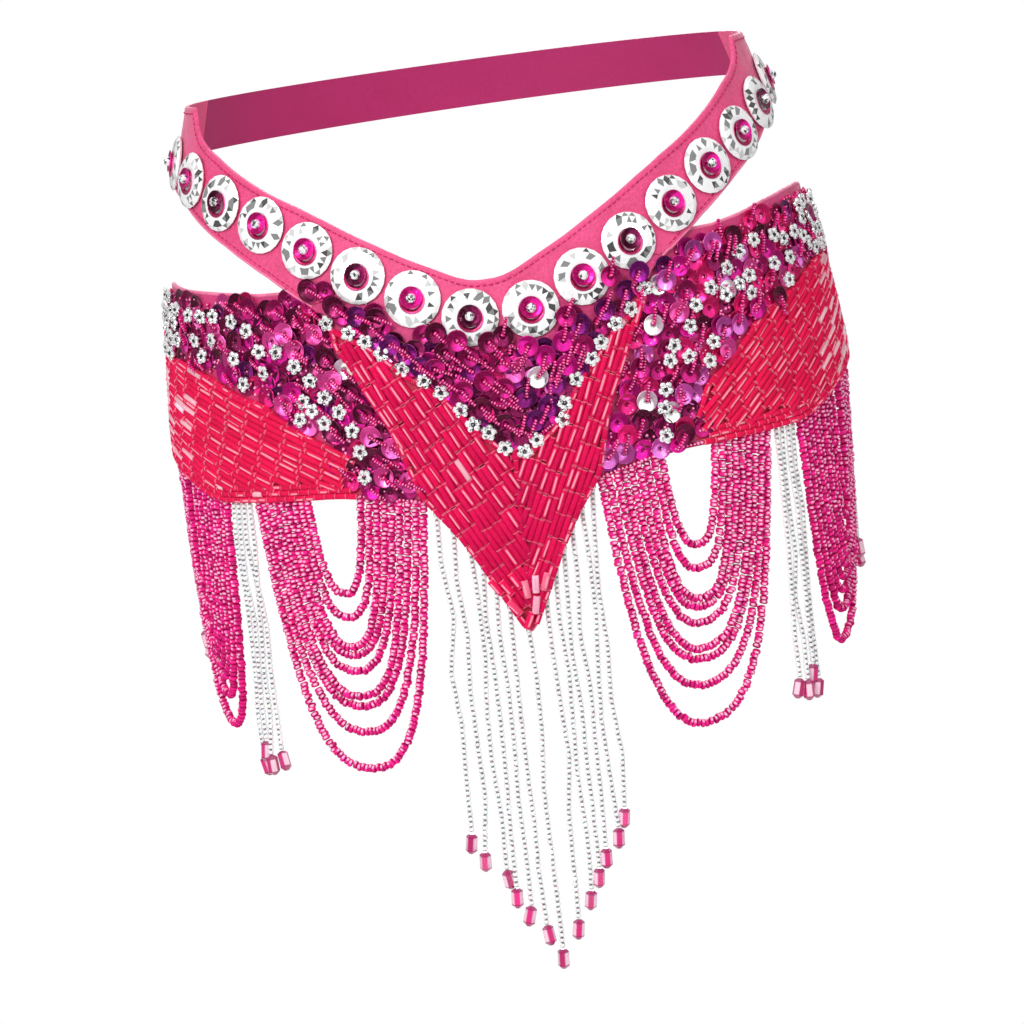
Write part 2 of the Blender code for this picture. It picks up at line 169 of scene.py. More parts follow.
# Creases in the cloth: angle, height, half length, half width, depth (mm), slope
BAND_CREASES = (
    (-103, 9, 9, 1.8, 0.5, 70), (-92, 12, 11, 2.2, 0.6, 40), (-80, 3, 12, 2.0, 0.5, 62),
    (-66, -2, 14, 2.4, 0.6, 50), (-57, -12, 11, 1.8, 0.5, 25), (-43, -30, 16, 2.4, 0.6, 42),
    (-31, -45, 12, 2.0, 0.5, -62), (-20, -62, 15, 2.2, 0.6, -30), (-7, -78, 13, 2.6, 0.7, -20),
    (1, -82, 9, 2.2, 0.7, 85), (8, -76, 15, 2.4, 0.6, 28), (22, -58, 13, 2.0, 0.5, 66),
    (33, -40, 17, 2.6, 0.7, 38), (48, -25, 12, 1.8, 0.5, -48), (60, -8, 14, 2.2, 0.6, 48),
    (75, 5, 12, 2.2, 0.6, -64), (88, 10, 13, 2.0, 0.5, 30), (101, 12, 9, 1.8, 0.5, -70),
)
STRAP_CREASES = (
    (116, 8, 22, 2.4, 0.5, 4), (131, 18, 30, 2.8, 0.4, -3), (150, 9, 26, 2.2, 0.5, 6),
    (168, 17, 34, 3.0, 0.4, -5), (186, 7, 24, 2.6, 0.5, 3), (203, 16, 30, 2.4, 0.4, 7),
    (221, 9, 27, 2.8, 0.5, -4), (240, 17, 22, 2.2, 0.5, 5),
)
HIP_STRAP_CREASES = (
    (112, -122, 24, 3.0, 0.5, 5), (134, -114, 30, 2.6, 0.5, -6), (158, -127, 34, 3.2, 0.4, 3),
    (183, -118, 28, 2.8, 0.5, -3), (207, -125, 30, 2.6, 0.4, 6), (232, -115, 24, 3.0, 0.5, -5),
)
PANEL_CREASES = (
    (22, -96, 16, 3.0, 0.6, 55), (36, -82, 20, 3.2, 0.7, 18), (52, -78, 18, 2.6, 0.6, -12),
    (68, -84, 22, 3.4, 0.7, 24), (84, -92, 18, 3.0, 0.7, 60), (96, -112, 20, 2.8, 0.7, 82),
    (60, -140, 26, 4.0, 0.6, 30), (34, -150, 20, 3.4, 0.6, 48), (0, -130, 18, 3.6, 0.6, 90),
    (9, -200, 16, 3.0, 0.5, 62),
)

# Colours (linear)
SATIN = (0.86, 0.075, 0.245)
STRAP = (0.45, 0.016, 0.140)
PIPING = (0.93, 0.20, 0.38)
NET = (0.72, 0.045, 0.21)
CORAL_CLOTH = (0.66, 0.007, 0.070)
BUGLE = (0.66, 0.006, 0.082)
LEAF_BUGLE = (0.74, 0.010, 0.076)
SEED = (0.76, 0.016, 0.215)
CLEAR = (0.93, 0.93, 0.95)
DROP_PINK = (0.60, 0.02, 0.17)
# Sequins: red, green, blue, share in the centre, on the right hip, on the left hip
SEQUINS = (
    (0.105, 0.002, 0.030, 28, 32, 7), (0.30, 0.003, 0.090, 28, 26, 12),
    (0.12, 0.003, 0.115, 24, 8, 1), (0.52, 0.004, 0.20, 16, 18, 16),
    (0.82, 0.08, 0.36, 3, 9, 5), (0.66, 0.11, 0.48, 0, 1, 6),
    (0.97, 0.90, 0.95, 0, 0, 2), (0.76, 0.010, 0.15, 3, 10, 51),
)
CUP_COLOURS = ((0.62, 0.004, 0.20), (0.085, 0.002, 0.026))
# Cups from the centre front outwards on the wearer's right, then on the left: 0 magenta, 1 dark
CUP_ORDER = ((1, 0, 1, 0, 0, 1, 0, 0), (0, 0, 1, 0, 0, 0, 1, 0))


# Places on the hips

def edge(table, angle, column=1):
    """Height of an edge, the same on both sides of the front."""
    return np.interp(np.abs(angle), [r[0] for r in table], [r[column] for r in table])


def hip_points(angle, z_mm, off):
    """World points of the cloth, moved out from the hips by off metres."""
    angle, z_mm, off = np.broadcast_arrays(*(np.asarray(v, float) for v in (angle, z_mm, off)))
    z = z_mm / 1000.0
    q = np.maximum(0.0, z - TAPER_FROM) ** 2
    a, b = HALF_WIDTH - TAPER_WIDTH * q, HALF_DEPTH - TAPER_DEPTH * q
    t = np.radians(angle + np.interp(z_mm, TURN_HEIGHT, TURN_ANGLE))
    nx, ny = np.sin(t) / a, -np.cos(t) / b
    size = np.hypot(nx, ny)
    x = a * np.sin(t) + nx / size * off
    y = -b * np.cos(t) + ny / size * off
    return np.stack((x * math.cos(TILT) - z * math.sin(TILT), y,
                     x * math.sin(TILT) + z * math.cos(TILT)), axis=-1)


def unit(v):
    return v / np.maximum(np.linalg.norm(v, axis=-1, keepdims=True), 1e-12)


def hip_axes(angle, z_mm, off=OVER):
    """Directions round the hips, up the cloth and outwards at each place."""
    across = unit(hip_points(angle + 0.5, z_mm, off) - hip_points(angle - 0.5, z_mm, off))
    up = unit(hip_points(angle, z_mm + 1.0, off) - hip_points(angle, z_mm - 1.0, off))
    out = unit(np.cross(across, up))
    return across, np.cross(out, across), out


# Distance round the hips, in mm, at each step of angle
_STEP = np.radians(np.arange(0.0, 361.0, 0.5))
_SPEED = np.hypot(HALF_WIDTH * np.cos(_STEP), HALF_DEPTH * np.sin(_STEP)) * 1000.0
_RUN = np.concatenate(([0.0], np.cumsum((_SPEED[1:] + _SPEED[:-1]) / 2 * np.diff(_STEP))))


def angle_at(distance):
    return np.degrees(np.sign(distance) * np.interp(np.abs(distance), _RUN, _STEP))


def distance_at(angle):
    return np.sign(angle) * np.interp(np.radians(np.abs(angle)), _STEP, _RUN)


def narrowing(z_mm):
    """Width of the hips at a height, as a share of their greatest."""
    return 1.0 - TAPER_WIDTH * np.maximum(0.0, z_mm / 1000.0 - TAPER_FROM) ** 2 / HALF_WIDTH


def angle_of(x_mm, z_mm):
    """Angle of a flat distance from the centre front at a height."""
    return angle_at(x_mm / narrowing(z_mm))


def flat_x(angle, z_mm):
    """Distance from the centre front along the cloth, in mm."""
    return distance_at(angle) * narrowing(z_mm)


def strap_high(angle):
    return STRAP_HIGH - STRAP_LEAN * np.sin(np.radians(angle))


def band_high(angle):
    return np.minimum(edge(BAND_TOP, angle), strap_high(angle))


def hip_high(angle):
    return np.where(np.asarray(angle) < 0, edge(HIP_TOP, angle, 1), edge(HIP_TOP, angle, 2))


def chevron_top(angle):
    return np.interp(angle, *np.transpose(CHEVRON_TOP))


def coin_low(angle):
    """Height of the line under the coins."""
    return np.interp(np.abs(distance_at(angle - COIN_TURN)), *np.transpose(COIN_LINE)) - COIN_RADIUS


def evenly(angle, z_mm, off, pitch):
    """Angles and heights along an edge at an even pitch in metres."""
    p = hip_points(angle, z_mm, off)
    run = np.concatenate(([0.0], np.cumsum(np.linalg.norm(np.diff(p, axis=0), axis=1))))
    at = np.arange(pitch / 2, run[-1], pitch)
    return np.interp(at, run, angle), np.interp(at, run, z_mm)


def steps(first, last, marks, widest):
    """Angles from first to last that hold every mark, no further apart than widest."""
    stops = sorted({first, last, *[m for m in marks if first + 0.2 < m < last - 0.2]})
    out = [first]
    for a, b in zip(stops, stops[1:]):
        n = max(1, math.ceil((b - a) / widest))
        out += [a + (b - a) * k / n for k in range(1, n + 1)]
    return np.array(out)


def mirrored(table):
    """The angles of a table on both sides of the front."""
    return [s * r[0] for r in table for s in (-1, 1)]


# Pieces and materials

def place(obj, replaces=()):
    """Link a finished piece, ride it on the belt's body and hide the solids it replaces."""
    if obj.name not in bpy.context.scene.collection.objects:
        bpy.context.scene.collection.objects.link(obj)
    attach(obj, "root")
    if replaces:
        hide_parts(*replaces)
    return obj


def sort_faces(bm):
    """Put faces in the order of their points, as their own order changes from run to run."""
    bm.verts.index_update()
    count = len(bm.verts)

    def rank(face):
        a, b, c = sorted(v.index for v in face.verts)[:3]
        return (a * count + b) * count + c

    bm.faces.sort(key=rank)


def mesh_object(bm, name, materials):
    """An object at the origin, from a bmesh that is then freed."""
    sort_faces(bm)
    mesh = bpy.data.meshes.new(name)
    bm.to_mesh(mesh)
    bm.free()
    for material in materials:
        mesh.materials.append(material)
    return bpy.data.objects.new(name, mesh)


def creasing(angle, z_mm, creases):
    """Depth of the soft troughs at each place, in metres."""
    x = flat_x(angle, z_mm)
    depth = np.zeros_like(x)
    for mark, height, long, wide, deep, slope in creases:
        c, s = math.cos(math.radians(slope)), math.sin(math.radians(slope))
        dx, dz = x - flat_x(np.float64(mark), np.float64(height)), z_mm - height
        u, v = dx * c + dz * s, -dx * s + dz * c
        depth += deep / 1000.0 * np.exp(-(u / long) ** 2 - (v / wide) ** 2)
    return depth


def cloth(name, angles, low, high, off, rows, materials, creases=(), hem=0.0, zone=None):
    """A cloth wall between two edges: a grid, given its thickness, laid round the hips.

    rows are heights as fractions from the lower to the upper edge. hem is the width in
    mm of a turned edge. zone gives a number for each place on the outer side, kept as an
    attribute.
    """
    bm = bmesh.new()
    columns, last = len(angles) - 1, len(rows) - 1
    bmesh.ops.create_grid(bm, x_segments=columns, y_segments=last, size=0.5)
    skin = bmesh.ops.extrude_face_region(bm, geom=list(bm.faces))
    inner = [v for v in skin["geom"] if isinstance(v, bmesh.types.BMVert)]
    bmesh.ops.translate(bm, verts=inner, vec=(0, 0, -1))
    bmesh.ops.recalc_face_normals(bm, faces=bm.faces)
    co = np.array([v.co for v in bm.verts])
    angle = np.interp(co[:, 0] + 0.5, np.linspace(0, 1, columns + 1), angles)
    share = np.interp(co[:, 1] + 0.5, np.linspace(0, 1, last + 1), rows)
    bottom, top = low(angle), high(angle)
    z_mm = bottom + (top - bottom) * share
    depth = np.minimum(creasing(angle, z_mm, creases), WALL * 0.8)
    if hem:
        from_edge = np.minimum(z_mm - bottom, top - z_mm)
        depth = np.minimum(depth, 0.0004) + 0.0004 * np.exp(-((from_edge - hem) / 0.8) ** 2)
        depth += 0.0003 * (from_edge > hem + 0.8) + 0.0005 * np.exp(-(from_edge / 0.5) ** 2)
    outer = co[:, 2] > -0.5
    layer = np.where(outer, off + WALL - depth, off)
    points = hip_points(angle, z_mm, layer)
    x = flat_x(angle, z_mm)
    uv_layer = bm.loops.layers.uv.new("cloth")
    for v, p in zip(bm.verts, points):
        v.co = p
    bm.verts.index_update()
    for face in bm.faces:
        face.smooth = True
        for loop in face.loops:
            k = loop.vert.index
            loop[uv_layer].uv = (x[k] / 1000.0, z_mm[k] / 1000.0)
    bmesh.ops.recalc_face_normals(bm, faces=bm.faces)
    obj = mesh_object(bm, name, materials)
    if zone is not None:
        obj.data.attributes.new("zone", "FLOAT", "POINT").data.foreach_set(
            "value", (zone(angle, z_mm) * outer).astype(np.float32))
    sharpen(obj, 50)
    return obj


def sharpen(obj, degrees):
    """Shade flat across edges that turn by more than degrees."""
    bm = bmesh.new()
    bm.from_mesh(obj.data)
    for e in bm.edges:
        e.smooth = e.calc_face_angle(0.0) < math.radians(degrees)
    bm.to_mesh(obj.data)
    bm.free()


def turned(profile, sides, closed=False):
    """A bmesh turned round its Z axis from (radius, height) in mm."""
    bm = bmesh.new()
    verts = [bm.verts.new((r / 1000.0, 0, z / 1000.0)) for r, z in profile]
    pairs = list(zip(verts, verts[1:])) + ([(verts[-1], verts[0])] if closed else [])
    edges = [bm.edges.new(pair) for pair in pairs]
    bmesh.ops.spin(bm, geom=verts + edges, cent=(0, 0, 0), axis=(0, 0, 1),
                   angle=2 * math.pi, steps=sides, use_merge=True)
    bmesh.ops.remove_doubles(bm, verts=bm.verts, dist=1e-7)
    bmesh.ops.recalc_face_normals(bm, faces=bm.faces)
    return bm


class Shape:
    """Arrays of one small shape, ready to be copied many times.

    Its faces are sorted, because their order after a spin changes from run to run.
    """

    def __init__(self, bm, smooth=True, size=1.0):
        mesh = bpy.data.meshes.new("small shape")
        bm.to_mesh(mesh)
        bm.free()
        self.co = np.zeros(len(mesh.vertices) * 3)
        mesh.vertices.foreach_get("co", self.co)
        self.co = self.co.reshape(-1, 3)
        faces = []
        for face in mesh.polygons:
            corners = list(face.vertices)
            first = corners.index(min(corners))
            faces.append(corners[first:] + corners[:first])
        faces.sort()
        self.loops = np.concatenate(faces)
        self.starts = np.cumsum([0] + [len(face) for face in faces[:-1]])
        self.smooth = smooth
        self.size = size
        bpy.data.meshes.remove(mesh)


def tile(name, shape, places, axes, tints, material, seed=0):
    """One mesh with a copy of shape at each place.

    axes are its X, Y and Z directions there. Each copy keeps its tint, its points in
    the shape's own frame, and a random number for each of its faces.
    """
    n, v, p = len(places), len(shape.co), len(shape.starts)
    turn = np.stack(axes, axis=-1)
    co = places[:, None, :] + np.einsum("nij,vj->nvi", turn, shape.co)
    order = np.arange(n)[:, None]
    mesh = bpy.data.meshes.new(name)
    mesh.vertices.add(n * v)
    mesh.vertices.foreach_set("co", co.ravel())
    mesh.loops.add(n * len(shape.loops))
    mesh.loops.foreach_set("vertex_index", (shape.loops + v * order).ravel().astype(np.int32))
    mesh.polygons.add(n * p)
    mesh.polygons.foreach_set("loop_start",
                              (shape.starts + len(shape.loops) * order).ravel().astype(np.int32))
    mesh.polygons.foreach_set("use_smooth", np.full(n * p, shape.smooth))
    mesh.update(calc_edges=True)
    mesh.validate()
    colours = np.ones((n, v, 4), np.float32)
    colours[..., :3] = np.broadcast_to(np.asarray(tints, np.float32), (n, 3))[:, None, :]
    mesh.attributes.new("tint", "FLOAT_COLOR", "POINT").data.foreach_set(
        "color", colours.ravel())
    local = np.tile(shape.co / shape.size, (n, 1)).astype(np.float32)
    mesh.attributes.new("local", "FLOAT_VECTOR", "POINT").data.foreach_set(
        "vector", local.ravel())
    rng = np.random.default_rng(seed)
    mesh.attributes.new("facet", "FLOAT", "FACE").data.foreach_set(
        "value", rng.random(n * p).astype(np.float32))
    mesh.materials.append(material)
    return bpy.data.objects.new(name, mesh)


def varied(colour, n, rng, spread=0.12):
    """n near copies of a colour."""
    return np.clip(np.asarray(colour) * np.exp(rng.normal(0, spread, (n, 1))), 0.0, 0.97)


def group(name, inputs, outputs):
    """A node group with its two end nodes, from (label, kind, value) and (label, kind)."""
    tree = bpy.data.node_groups.new(name, "ShaderNodeTree")
    for label, kind, value in inputs:
        socket = tree.interface.new_socket(label, in_out="INPUT", socket_type="NodeSocket" + kind)
        if value is not None:
            socket.default_value = value
    for label, kind in outputs:
        tree.interface.new_socket(label, in_out="OUTPUT", socket_type="NodeSocket" + kind)
    return tree, tree.nodes.new("NodeGroupInput"), tree.nodes.new("NodeGroupOutput")


def node(tree, kind, links=None, **values):
    """A node whose settings come from values and whose inputs come from links."""
    made = tree.nodes.new("ShaderNode" + kind)
    for key, value in values.items():
        setattr(made, key, value)
    for key, value in (links or {}).items():
        socket = made.inputs[key]
        if isinstance(value, bpy.types.NodeSocket):
            tree.links.new(value, socket)
        else:
            socket.default_value = value
    return made


def mixed(tree, share, a, b, blend="MIX"):
    """Colour b over colour a by a share."""
    made = node(tree, "Mix", data_type="RGBA", blend_type=blend)
    for key, value in ((0, share), (6, a), (7, b)):
        if isinstance(value, bpy.types.NodeSocket):
            tree.links.new(value, made.inputs[key])
        else:
            made.inputs[key].default_value = value
    return made.outputs[2]


def ranged(tree, value, a, b, c, d):
    """A value brought from the range a to b into the range c to d."""
    made = node(tree, "MapRange", {"Value": value, "From Min": a, "From Max": b,
                                   "To Min": c, "To Max": d})
    return made.outputs["Result"]


def woven_group():
    """Threads, slubs and soft mottling of a woven cloth."""
    found = bpy.data.node_groups.get("woven cloth")
    if found:
        return found
    tree, inside, out = group(
        "woven cloth",
        (("Vector", "Vector", None), ("Colour", "Color", (1, 1, 1, 1)),
         ("Thread Scale", "Float", 520.0), ("Mottling", "Float", 0.2)),
        (("Colour", "Color"), ("Height", "Float"), ("Roughness", "Float")))
    place_at, colour = inside.outputs["Vector"], inside.outputs["Colour"]
    warp = node(tree, "TexWave", {"Vector": place_at, "Scale": inside.outputs["Thread Scale"],
                                  "Distortion": 1.5, "Detail": 1.0}, bands_direction="X")
    weft = node(tree, "TexWave", {"Vector": place_at, "Scale": inside.outputs["Thread Scale"],
                                  "Distortion": 1.5, "Detail": 1.0}, bands_direction="Y")
    threads = node(tree, "Math", {0: warp.outputs["Fac"], 1: weft.outputs["Fac"]},
                   operation="MAXIMUM").outputs[0]
    slubs = node(tree, "TexNoise", {"Vector": place_at, "Scale": 620.0, "Detail": 3.0})
    patches = node(tree, "TexNoise", {"Vector": place_at, "Scale": 45.0, "Detail": 4.0})
    light = mixed(tree, ranged(tree, slubs.outputs["Fac"], 0.35, 0.7, 0.0, 1.0),
                  (0.72, 0.66, 0.68, 1), (1.18, 1.25, 1.22, 1))
    cloudy = mixed(tree, ranged(tree, patches.outputs["Fac"], 0.3, 0.7, 0.0, 1.0),
                   (0.78, 0.68, 0.72, 1), (1.08, 1.25, 1.18, 1))
    tone = mixed(tree, inside.outputs["Mottling"], colour,
                 mixed(tree, 1.0, colour, light, "MULTIPLY"))
    tone = mixed(tree, inside.outputs["Mottling"], tone,
                 mixed(tree, 1.0, tone, cloudy, "MULTIPLY"))
    tree.links.new(tone, out.inputs["Colour"])
    height = node(tree, "Math", {0: threads, 1: slubs.outputs["Fac"]}, operation="ADD")
    tree.links.new(height.outputs[0], out.inputs["Height"])
    tree.links.new(ranged(tree, slubs.outputs["Fac"], 0.3, 0.7, 0.34, 0.56),
                   out.inputs["Roughness"])
    return tree


def bead_group():
    """Colour of a glass bead: cloudy, with a painted end tone at its ends and a painted glint on
    its X side.
    """
    found = bpy.data.node_groups.get("bead glass with painted light")
    if found:
        return found
    tree, inside, out = group(
        "bead glass with painted light",
        (("Tint", "Color", (1, 1, 1, 1)), ("Local", "Vector", None),
         ("Painted End Tone", "Color", (0.3, 0.0, 0.05, 1)), ("Hole Shade", "Float", 0.6),
         ("Hole From", "Float", 0.5), ("Hole Side", "Float", 0.0), ("Cloud", "Float", 0.3),
         ("Glint Tone", "Color", (1, 0.6, 0.7, 1)), ("Glint", "Float", 0.6),
         ("Glint Reach", "Float", 0.6), ("Glint From", "Float", 0.8)),
        (("Colour", "Color"), ("Roughness", "Float")))
    parts = node(tree, "SeparateXYZ", {"Vector": inside.outputs["Local"]})
    reach = node(tree, "Math", {0: parts.outputs["Z"]}, operation="ABSOLUTE").outputs[0]
    # end tone: painted shade at the ends of most beads, painted light on the cut ends of bugles
    end = node(tree, "MapRange", {"Value": reach, "From Min": inside.outputs["Hole From"],
                                  "From Max": 1.0, "To Min": 0.0,
                                  "To Max": inside.outputs["Hole Shade"]}).outputs["Result"]
    # painted glint: a highlight on the side facing along local X, which the beads turn outwards
    round_it = node(tree, "CombineXYZ", {"X": parts.outputs["X"], "Y": parts.outputs["Y"]})
    way = node(tree, "VectorMath", {0: round_it.outputs[0]}, operation="NORMALIZE")
    facing_out = node(tree, "SeparateXYZ", {"Vector": way.outputs[0]}).outputs["X"]
    past = node(tree, "Math", {0: reach, 1: inside.outputs["Glint Reach"]},
                operation="SUBTRACT").outputs[0]
    strong = node(tree, "MapRange", {"Value": facing_out, "From Max": 0.995,
                                     "From Min": inside.outputs["Glint From"]})
    glint = node(tree, "Math", {0: strong.outputs["Result"],
                                1: ranged(tree, past, 0.0, 0.2, 1.0, 0.0)},
                 operation="MULTIPLY").outputs[0]
    glint = node(tree, "Math", {0: glint, 1: inside.outputs["Glint"]},
                 operation="MULTIPLY").outputs[0]
    coordinates = node(tree, "TexCoord")
    clouds = node(tree, "TexNoise", {"Vector": coordinates.outputs["Object"], "Scale": 700.0,
                                     "Detail": 2.0})
    cloud = ranged(tree, clouds.outputs["Fac"], 0.35, 0.7, 0.0, 1.0)
    cloud = node(tree, "Math", {0: cloud, 1: inside.outputs["Cloud"]},
                 operation="MULTIPLY").outputs[0]
    tone = mixed(tree, cloud, inside.outputs["Tint"],
                 mixed(tree, 1.0, inside.outputs["Tint"], (0.16, 0.07, 0.12, 1), "ADD"))
    # Hole Side keeps the painted end tone off the sides, so it lies on the front between beads
    front = node(tree, "MapRange", {"Value": facing_out, "From Min": 0.30, "From Max": 0.70,
                                    "To Min": 1.0, "To Max": 0.0}).outputs["Result"]
    front = node(tree, "Math", {0: front, 1: inside.outputs["Hole Side"]},
                 operation="MULTIPLY").outputs[0]
    front = node(tree, "Math", {0: 1.0, 1: front}, operation="SUBTRACT").outputs[0]
    end = node(tree, "Math", {0: end, 1: front}, operation="MULTIPLY").outputs[0]
    tone = mixed(tree, end, tone, inside.outputs["Painted End Tone"])
    tone = mixed(tree, glint, tone, inside.outputs["Glint Tone"])
    tree.links.new(tone, out.inputs["Colour"])
    tree.links.new(ranged(tree, clouds.outputs["Fac"], 0.3, 0.7, 0.08, 0.24),
                   out.inputs["Roughness"])
    return tree


def flaws_group():
    """Small clouds in a cut stone, which darken it and dull its polish."""
    found = bpy.data.node_groups.get("stone flaws")
    if found:
        return found
    tree, inside, out = group(
        "stone flaws",
        (("Colour", "Color", (1, 1, 1, 1)), ("Flaw Tone", "Color", (0.45, 0.47, 0.50, 1)),
         ("Smoothest", "Float", 0.08), ("Roughest", "Float", 0.20)),
        (("Colour", "Color"), ("Roughness", "Float")))
    coordinates = node(tree, "TexCoord")
    flaws = node(tree, "TexNoise", {"Vector": coordinates.outputs["Object"], "Scale": 900.0,
                                    "Detail": 2.0})
    tone = inside.outputs["Colour"]
    tone = mixed(tree, ranged(tree, flaws.outputs["Fac"], 0.55, 0.8, 0.0, 0.35), tone,
                 mixed(tree, 1.0, tone, inside.outputs["Flaw Tone"], "MULTIPLY"))
    tree.links.new(tone, out.inputs["Colour"])
    tree.links.new(ranged(tree, flaws.outputs["Fac"], 0.3, 0.8, inside.outputs["Smoothest"],
                          inside.outputs["Roughest"]), out.inputs["Roughness"])
    return tree


def new_material(name):
    made = bpy.data.materials.new(name)
    made.use_nodes = True
    return made, made.node_tree, made.node_tree.nodes["Principled BSDF"]


def settings(shader, **values):
    """Plain values of a shader's inputs, with _ for each space."""
    for key, value in values.items():
        shader.inputs[key.replace("_", " ")].default_value = value


def cloth_material(name, colour, mottling=0.5, sheen=0.4, other=None):
    """Woven cloth. other is a second colour, taken where the zone attribute is 1."""
    found = bpy.data.materials.get(name)
    if found:
        return found
    made, tree, shader = new_material(name)
    weave = node(tree, "Group", node_tree=woven_group())
    uv = node(tree, "UVMap", uv_map="cloth")
    tree.links.new(uv.outputs["UV"], weave.inputs["Vector"])
    weave.inputs["Mottling"].default_value = mottling
    if other:
        zone = node(tree, "Attribute", attribute_name="zone")
        tree.links.new(mixed(tree, zone.outputs["Fac"], (*colour, 1), (*other, 1)),
                       weave.inputs["Colour"])
    else:
        weave.inputs["Colour"].default_value = (*colour, 1)
    tree.links.new(weave.outputs["Colour"], shader.inputs["Base Color"])
    tree.links.new(weave.outputs["Roughness"], shader.inputs["Roughness"])
    raised = node(tree, "Bump", {"Height": weave.outputs["Height"], "Strength": 0.4,
                                 "Distance": 0.0002})
    tree.links.new(raised.outputs["Normal"], shader.inputs["Normal"])
    settings(shader, Sheen_Weight=sheen, Sheen_Roughness=0.35, Specular_IOR_Level=0.45)
    shader.inputs["Sheen Tint"].default_value = (1.0, 0.75, 0.85, 1)
    return made


def panel_ground(look):
    """Cloth under the beads, coral where the zone attribute is 1."""
    return cloth_material("panel ground", tuple(look.net), mottling=0.6, other=CORAL_CLOTH)


def pink_piping():
    return cloth_material("pink piping", PIPING, mottling=0.4, sheen=0.5)


def bead_material(name, hole, shade=0.9, start=0.5, cloud=0.4, glint_tone=(1.0, 0.55, 0.72),
                  glint=0.8, reach=0.45, narrow=0.85, side=0.0, coat=0.08, shine=0.15,
                  gloss=None, soft=0.0):
    """Glass whose colour is the tint of each bead, with a painted end tone and a painted glint."""
    found = bpy.data.materials.get(name)
    if found:
        return found
    made, tree, shader = new_material(name)
    bead = node(tree, "Group", node_tree=bead_group())
    for key, value in (("Painted End Tone", (*hole, 1)), ("Hole Shade", shade), ("Hole From", start),
                       ("Cloud", cloud), ("Glint Tone", (*glint_tone, 1)), ("Glint", glint),
                       ("Glint Reach", reach), ("Glint From", narrow), ("Hole Side", side)):
        bead.inputs[key].default_value = value
    tint = node(tree, "Attribute", attribute_name="tint")
    local = node(tree, "Attribute", attribute_name="local")
    tree.links.new(tint.outputs["Color"], bead.inputs["Tint"])
    tree.links.new(local.outputs["Vector"], bead.inputs["Local"])
    tree.links.new(bead.outputs["Colour"], shader.inputs["Base Color"])
    if gloss is None:
        tree.links.new(bead.outputs["Roughness"], shader.inputs["Roughness"])
    else:
        settings(shader, Roughness=gloss)
    settings(shader, Coat_Weight=coat, Coat_Roughness=0.06, Specular_IOR_Level=shine,
             Subsurface_Weight=soft, Subsurface_Scale=0.002)
    shader.inputs["Subsurface Radius"].default_value = (1.0, 0.7, 0.8)
    return made


def drop_glass():
    """Cut pink glass with painted light: lighter and deeper sides by turns as painted reflections,
    and painted shade at both ends.
    """
    found = bpy.data.materials.get("drop glass")
    if found:
        return found
    made, tree, shader = new_material("drop glass")
    tint = node(tree, "Attribute", attribute_name="tint").outputs["Color"]
    local = node(tree, "Attribute", attribute_name="local").outputs["Vector"]
    parts = node(tree, "SeparateXYZ", {"Vector": local}).outputs
    # painted reflections: lighter and deeper sides by turns round the bead
    turn = node(tree, "Math", {0: parts["Y"], 1: parts["X"]}, operation="ARCTAN2").outputs[0]
    sheen_turns = 3.0
    turn = node(tree, "Math", {0: turn, 1: sheen_turns}, operation="MULTIPLY").outputs[0]
    sides = node(tree, "Math", {0: turn}, operation="SINE").outputs[0]
    tone = mixed(tree, ranged(tree, sides, -0.4, 0.3, 0.92, 0.0), tint, (0.97, 0.68, 0.80, 1))
    # painted shade at both ends
    middle = node(tree, "Math", {0: parts["Z"], 1: 0.47}, operation="ADD").outputs[0]
    middle = node(tree, "Math", {0: middle}, operation="ABSOLUTE").outputs[0]
    tone = mixed(tree, ranged(tree, middle, 0.27, 0.33, 0.0, 0.9), tone, (0.36, 0.003, 0.11, 1))
    tree.links.new(tone, shader.inputs["Base Color"])
    settings(shader, Roughness=0.08, Coat_Weight=0.5, Coat_Roughness=0.04)
    return made


def seed_glass():
    # dark ends: painted shade between the beads; the glint is a painted highlight
    return bead_material("seed glass", (0.40, 0.002, 0.095), glint_tone=(1.0, 0.58, 0.78),
                         shade=0.8, cloud=0.25, glint=0.9, reach=0.35, narrow=0.78,
                         coat=0.02, shine=0.0)


def line_glass():
    # dark ends: painted shade between the beads; the glint is a painted highlight
    return bead_material("line glass", (0.30, 0.002, 0.09), glint_tone=(0.98, 0.36, 0.62),
                         shade=0.75, cloud=0.25, glint=0.85, reach=0.35, narrow=0.80,
                         coat=0.02, shine=0.0)


def bugle_glass():
    # light pink ends: painted light on the cut rims; the glint is a painted highlight line along
    # the tube
    return bead_material("bugle glass", (1.0, 0.22, 0.32), shade=0.75, start=0.93, cloud=0.12,
                         glint_tone=(1.0, 0.36, 0.46), glint=0.95, reach=0.60, narrow=0.90,
                         coat=0.02, shine=0.0, soft=0.5)


def clear_glass():
    # near-black ends on the front only: painted shade in the gaps between beads; a small painted
    # white glint
    return bead_material("silver-lined glass", (0.012, 0.013, 0.014), shade=1.0, start=0.38,
                         side=1.0, cloud=0.0, glint_tone=(1.0, 1.0, 1.0), reach=0.0,
                         coat=0.0, shine=0.0, soft=0.8)


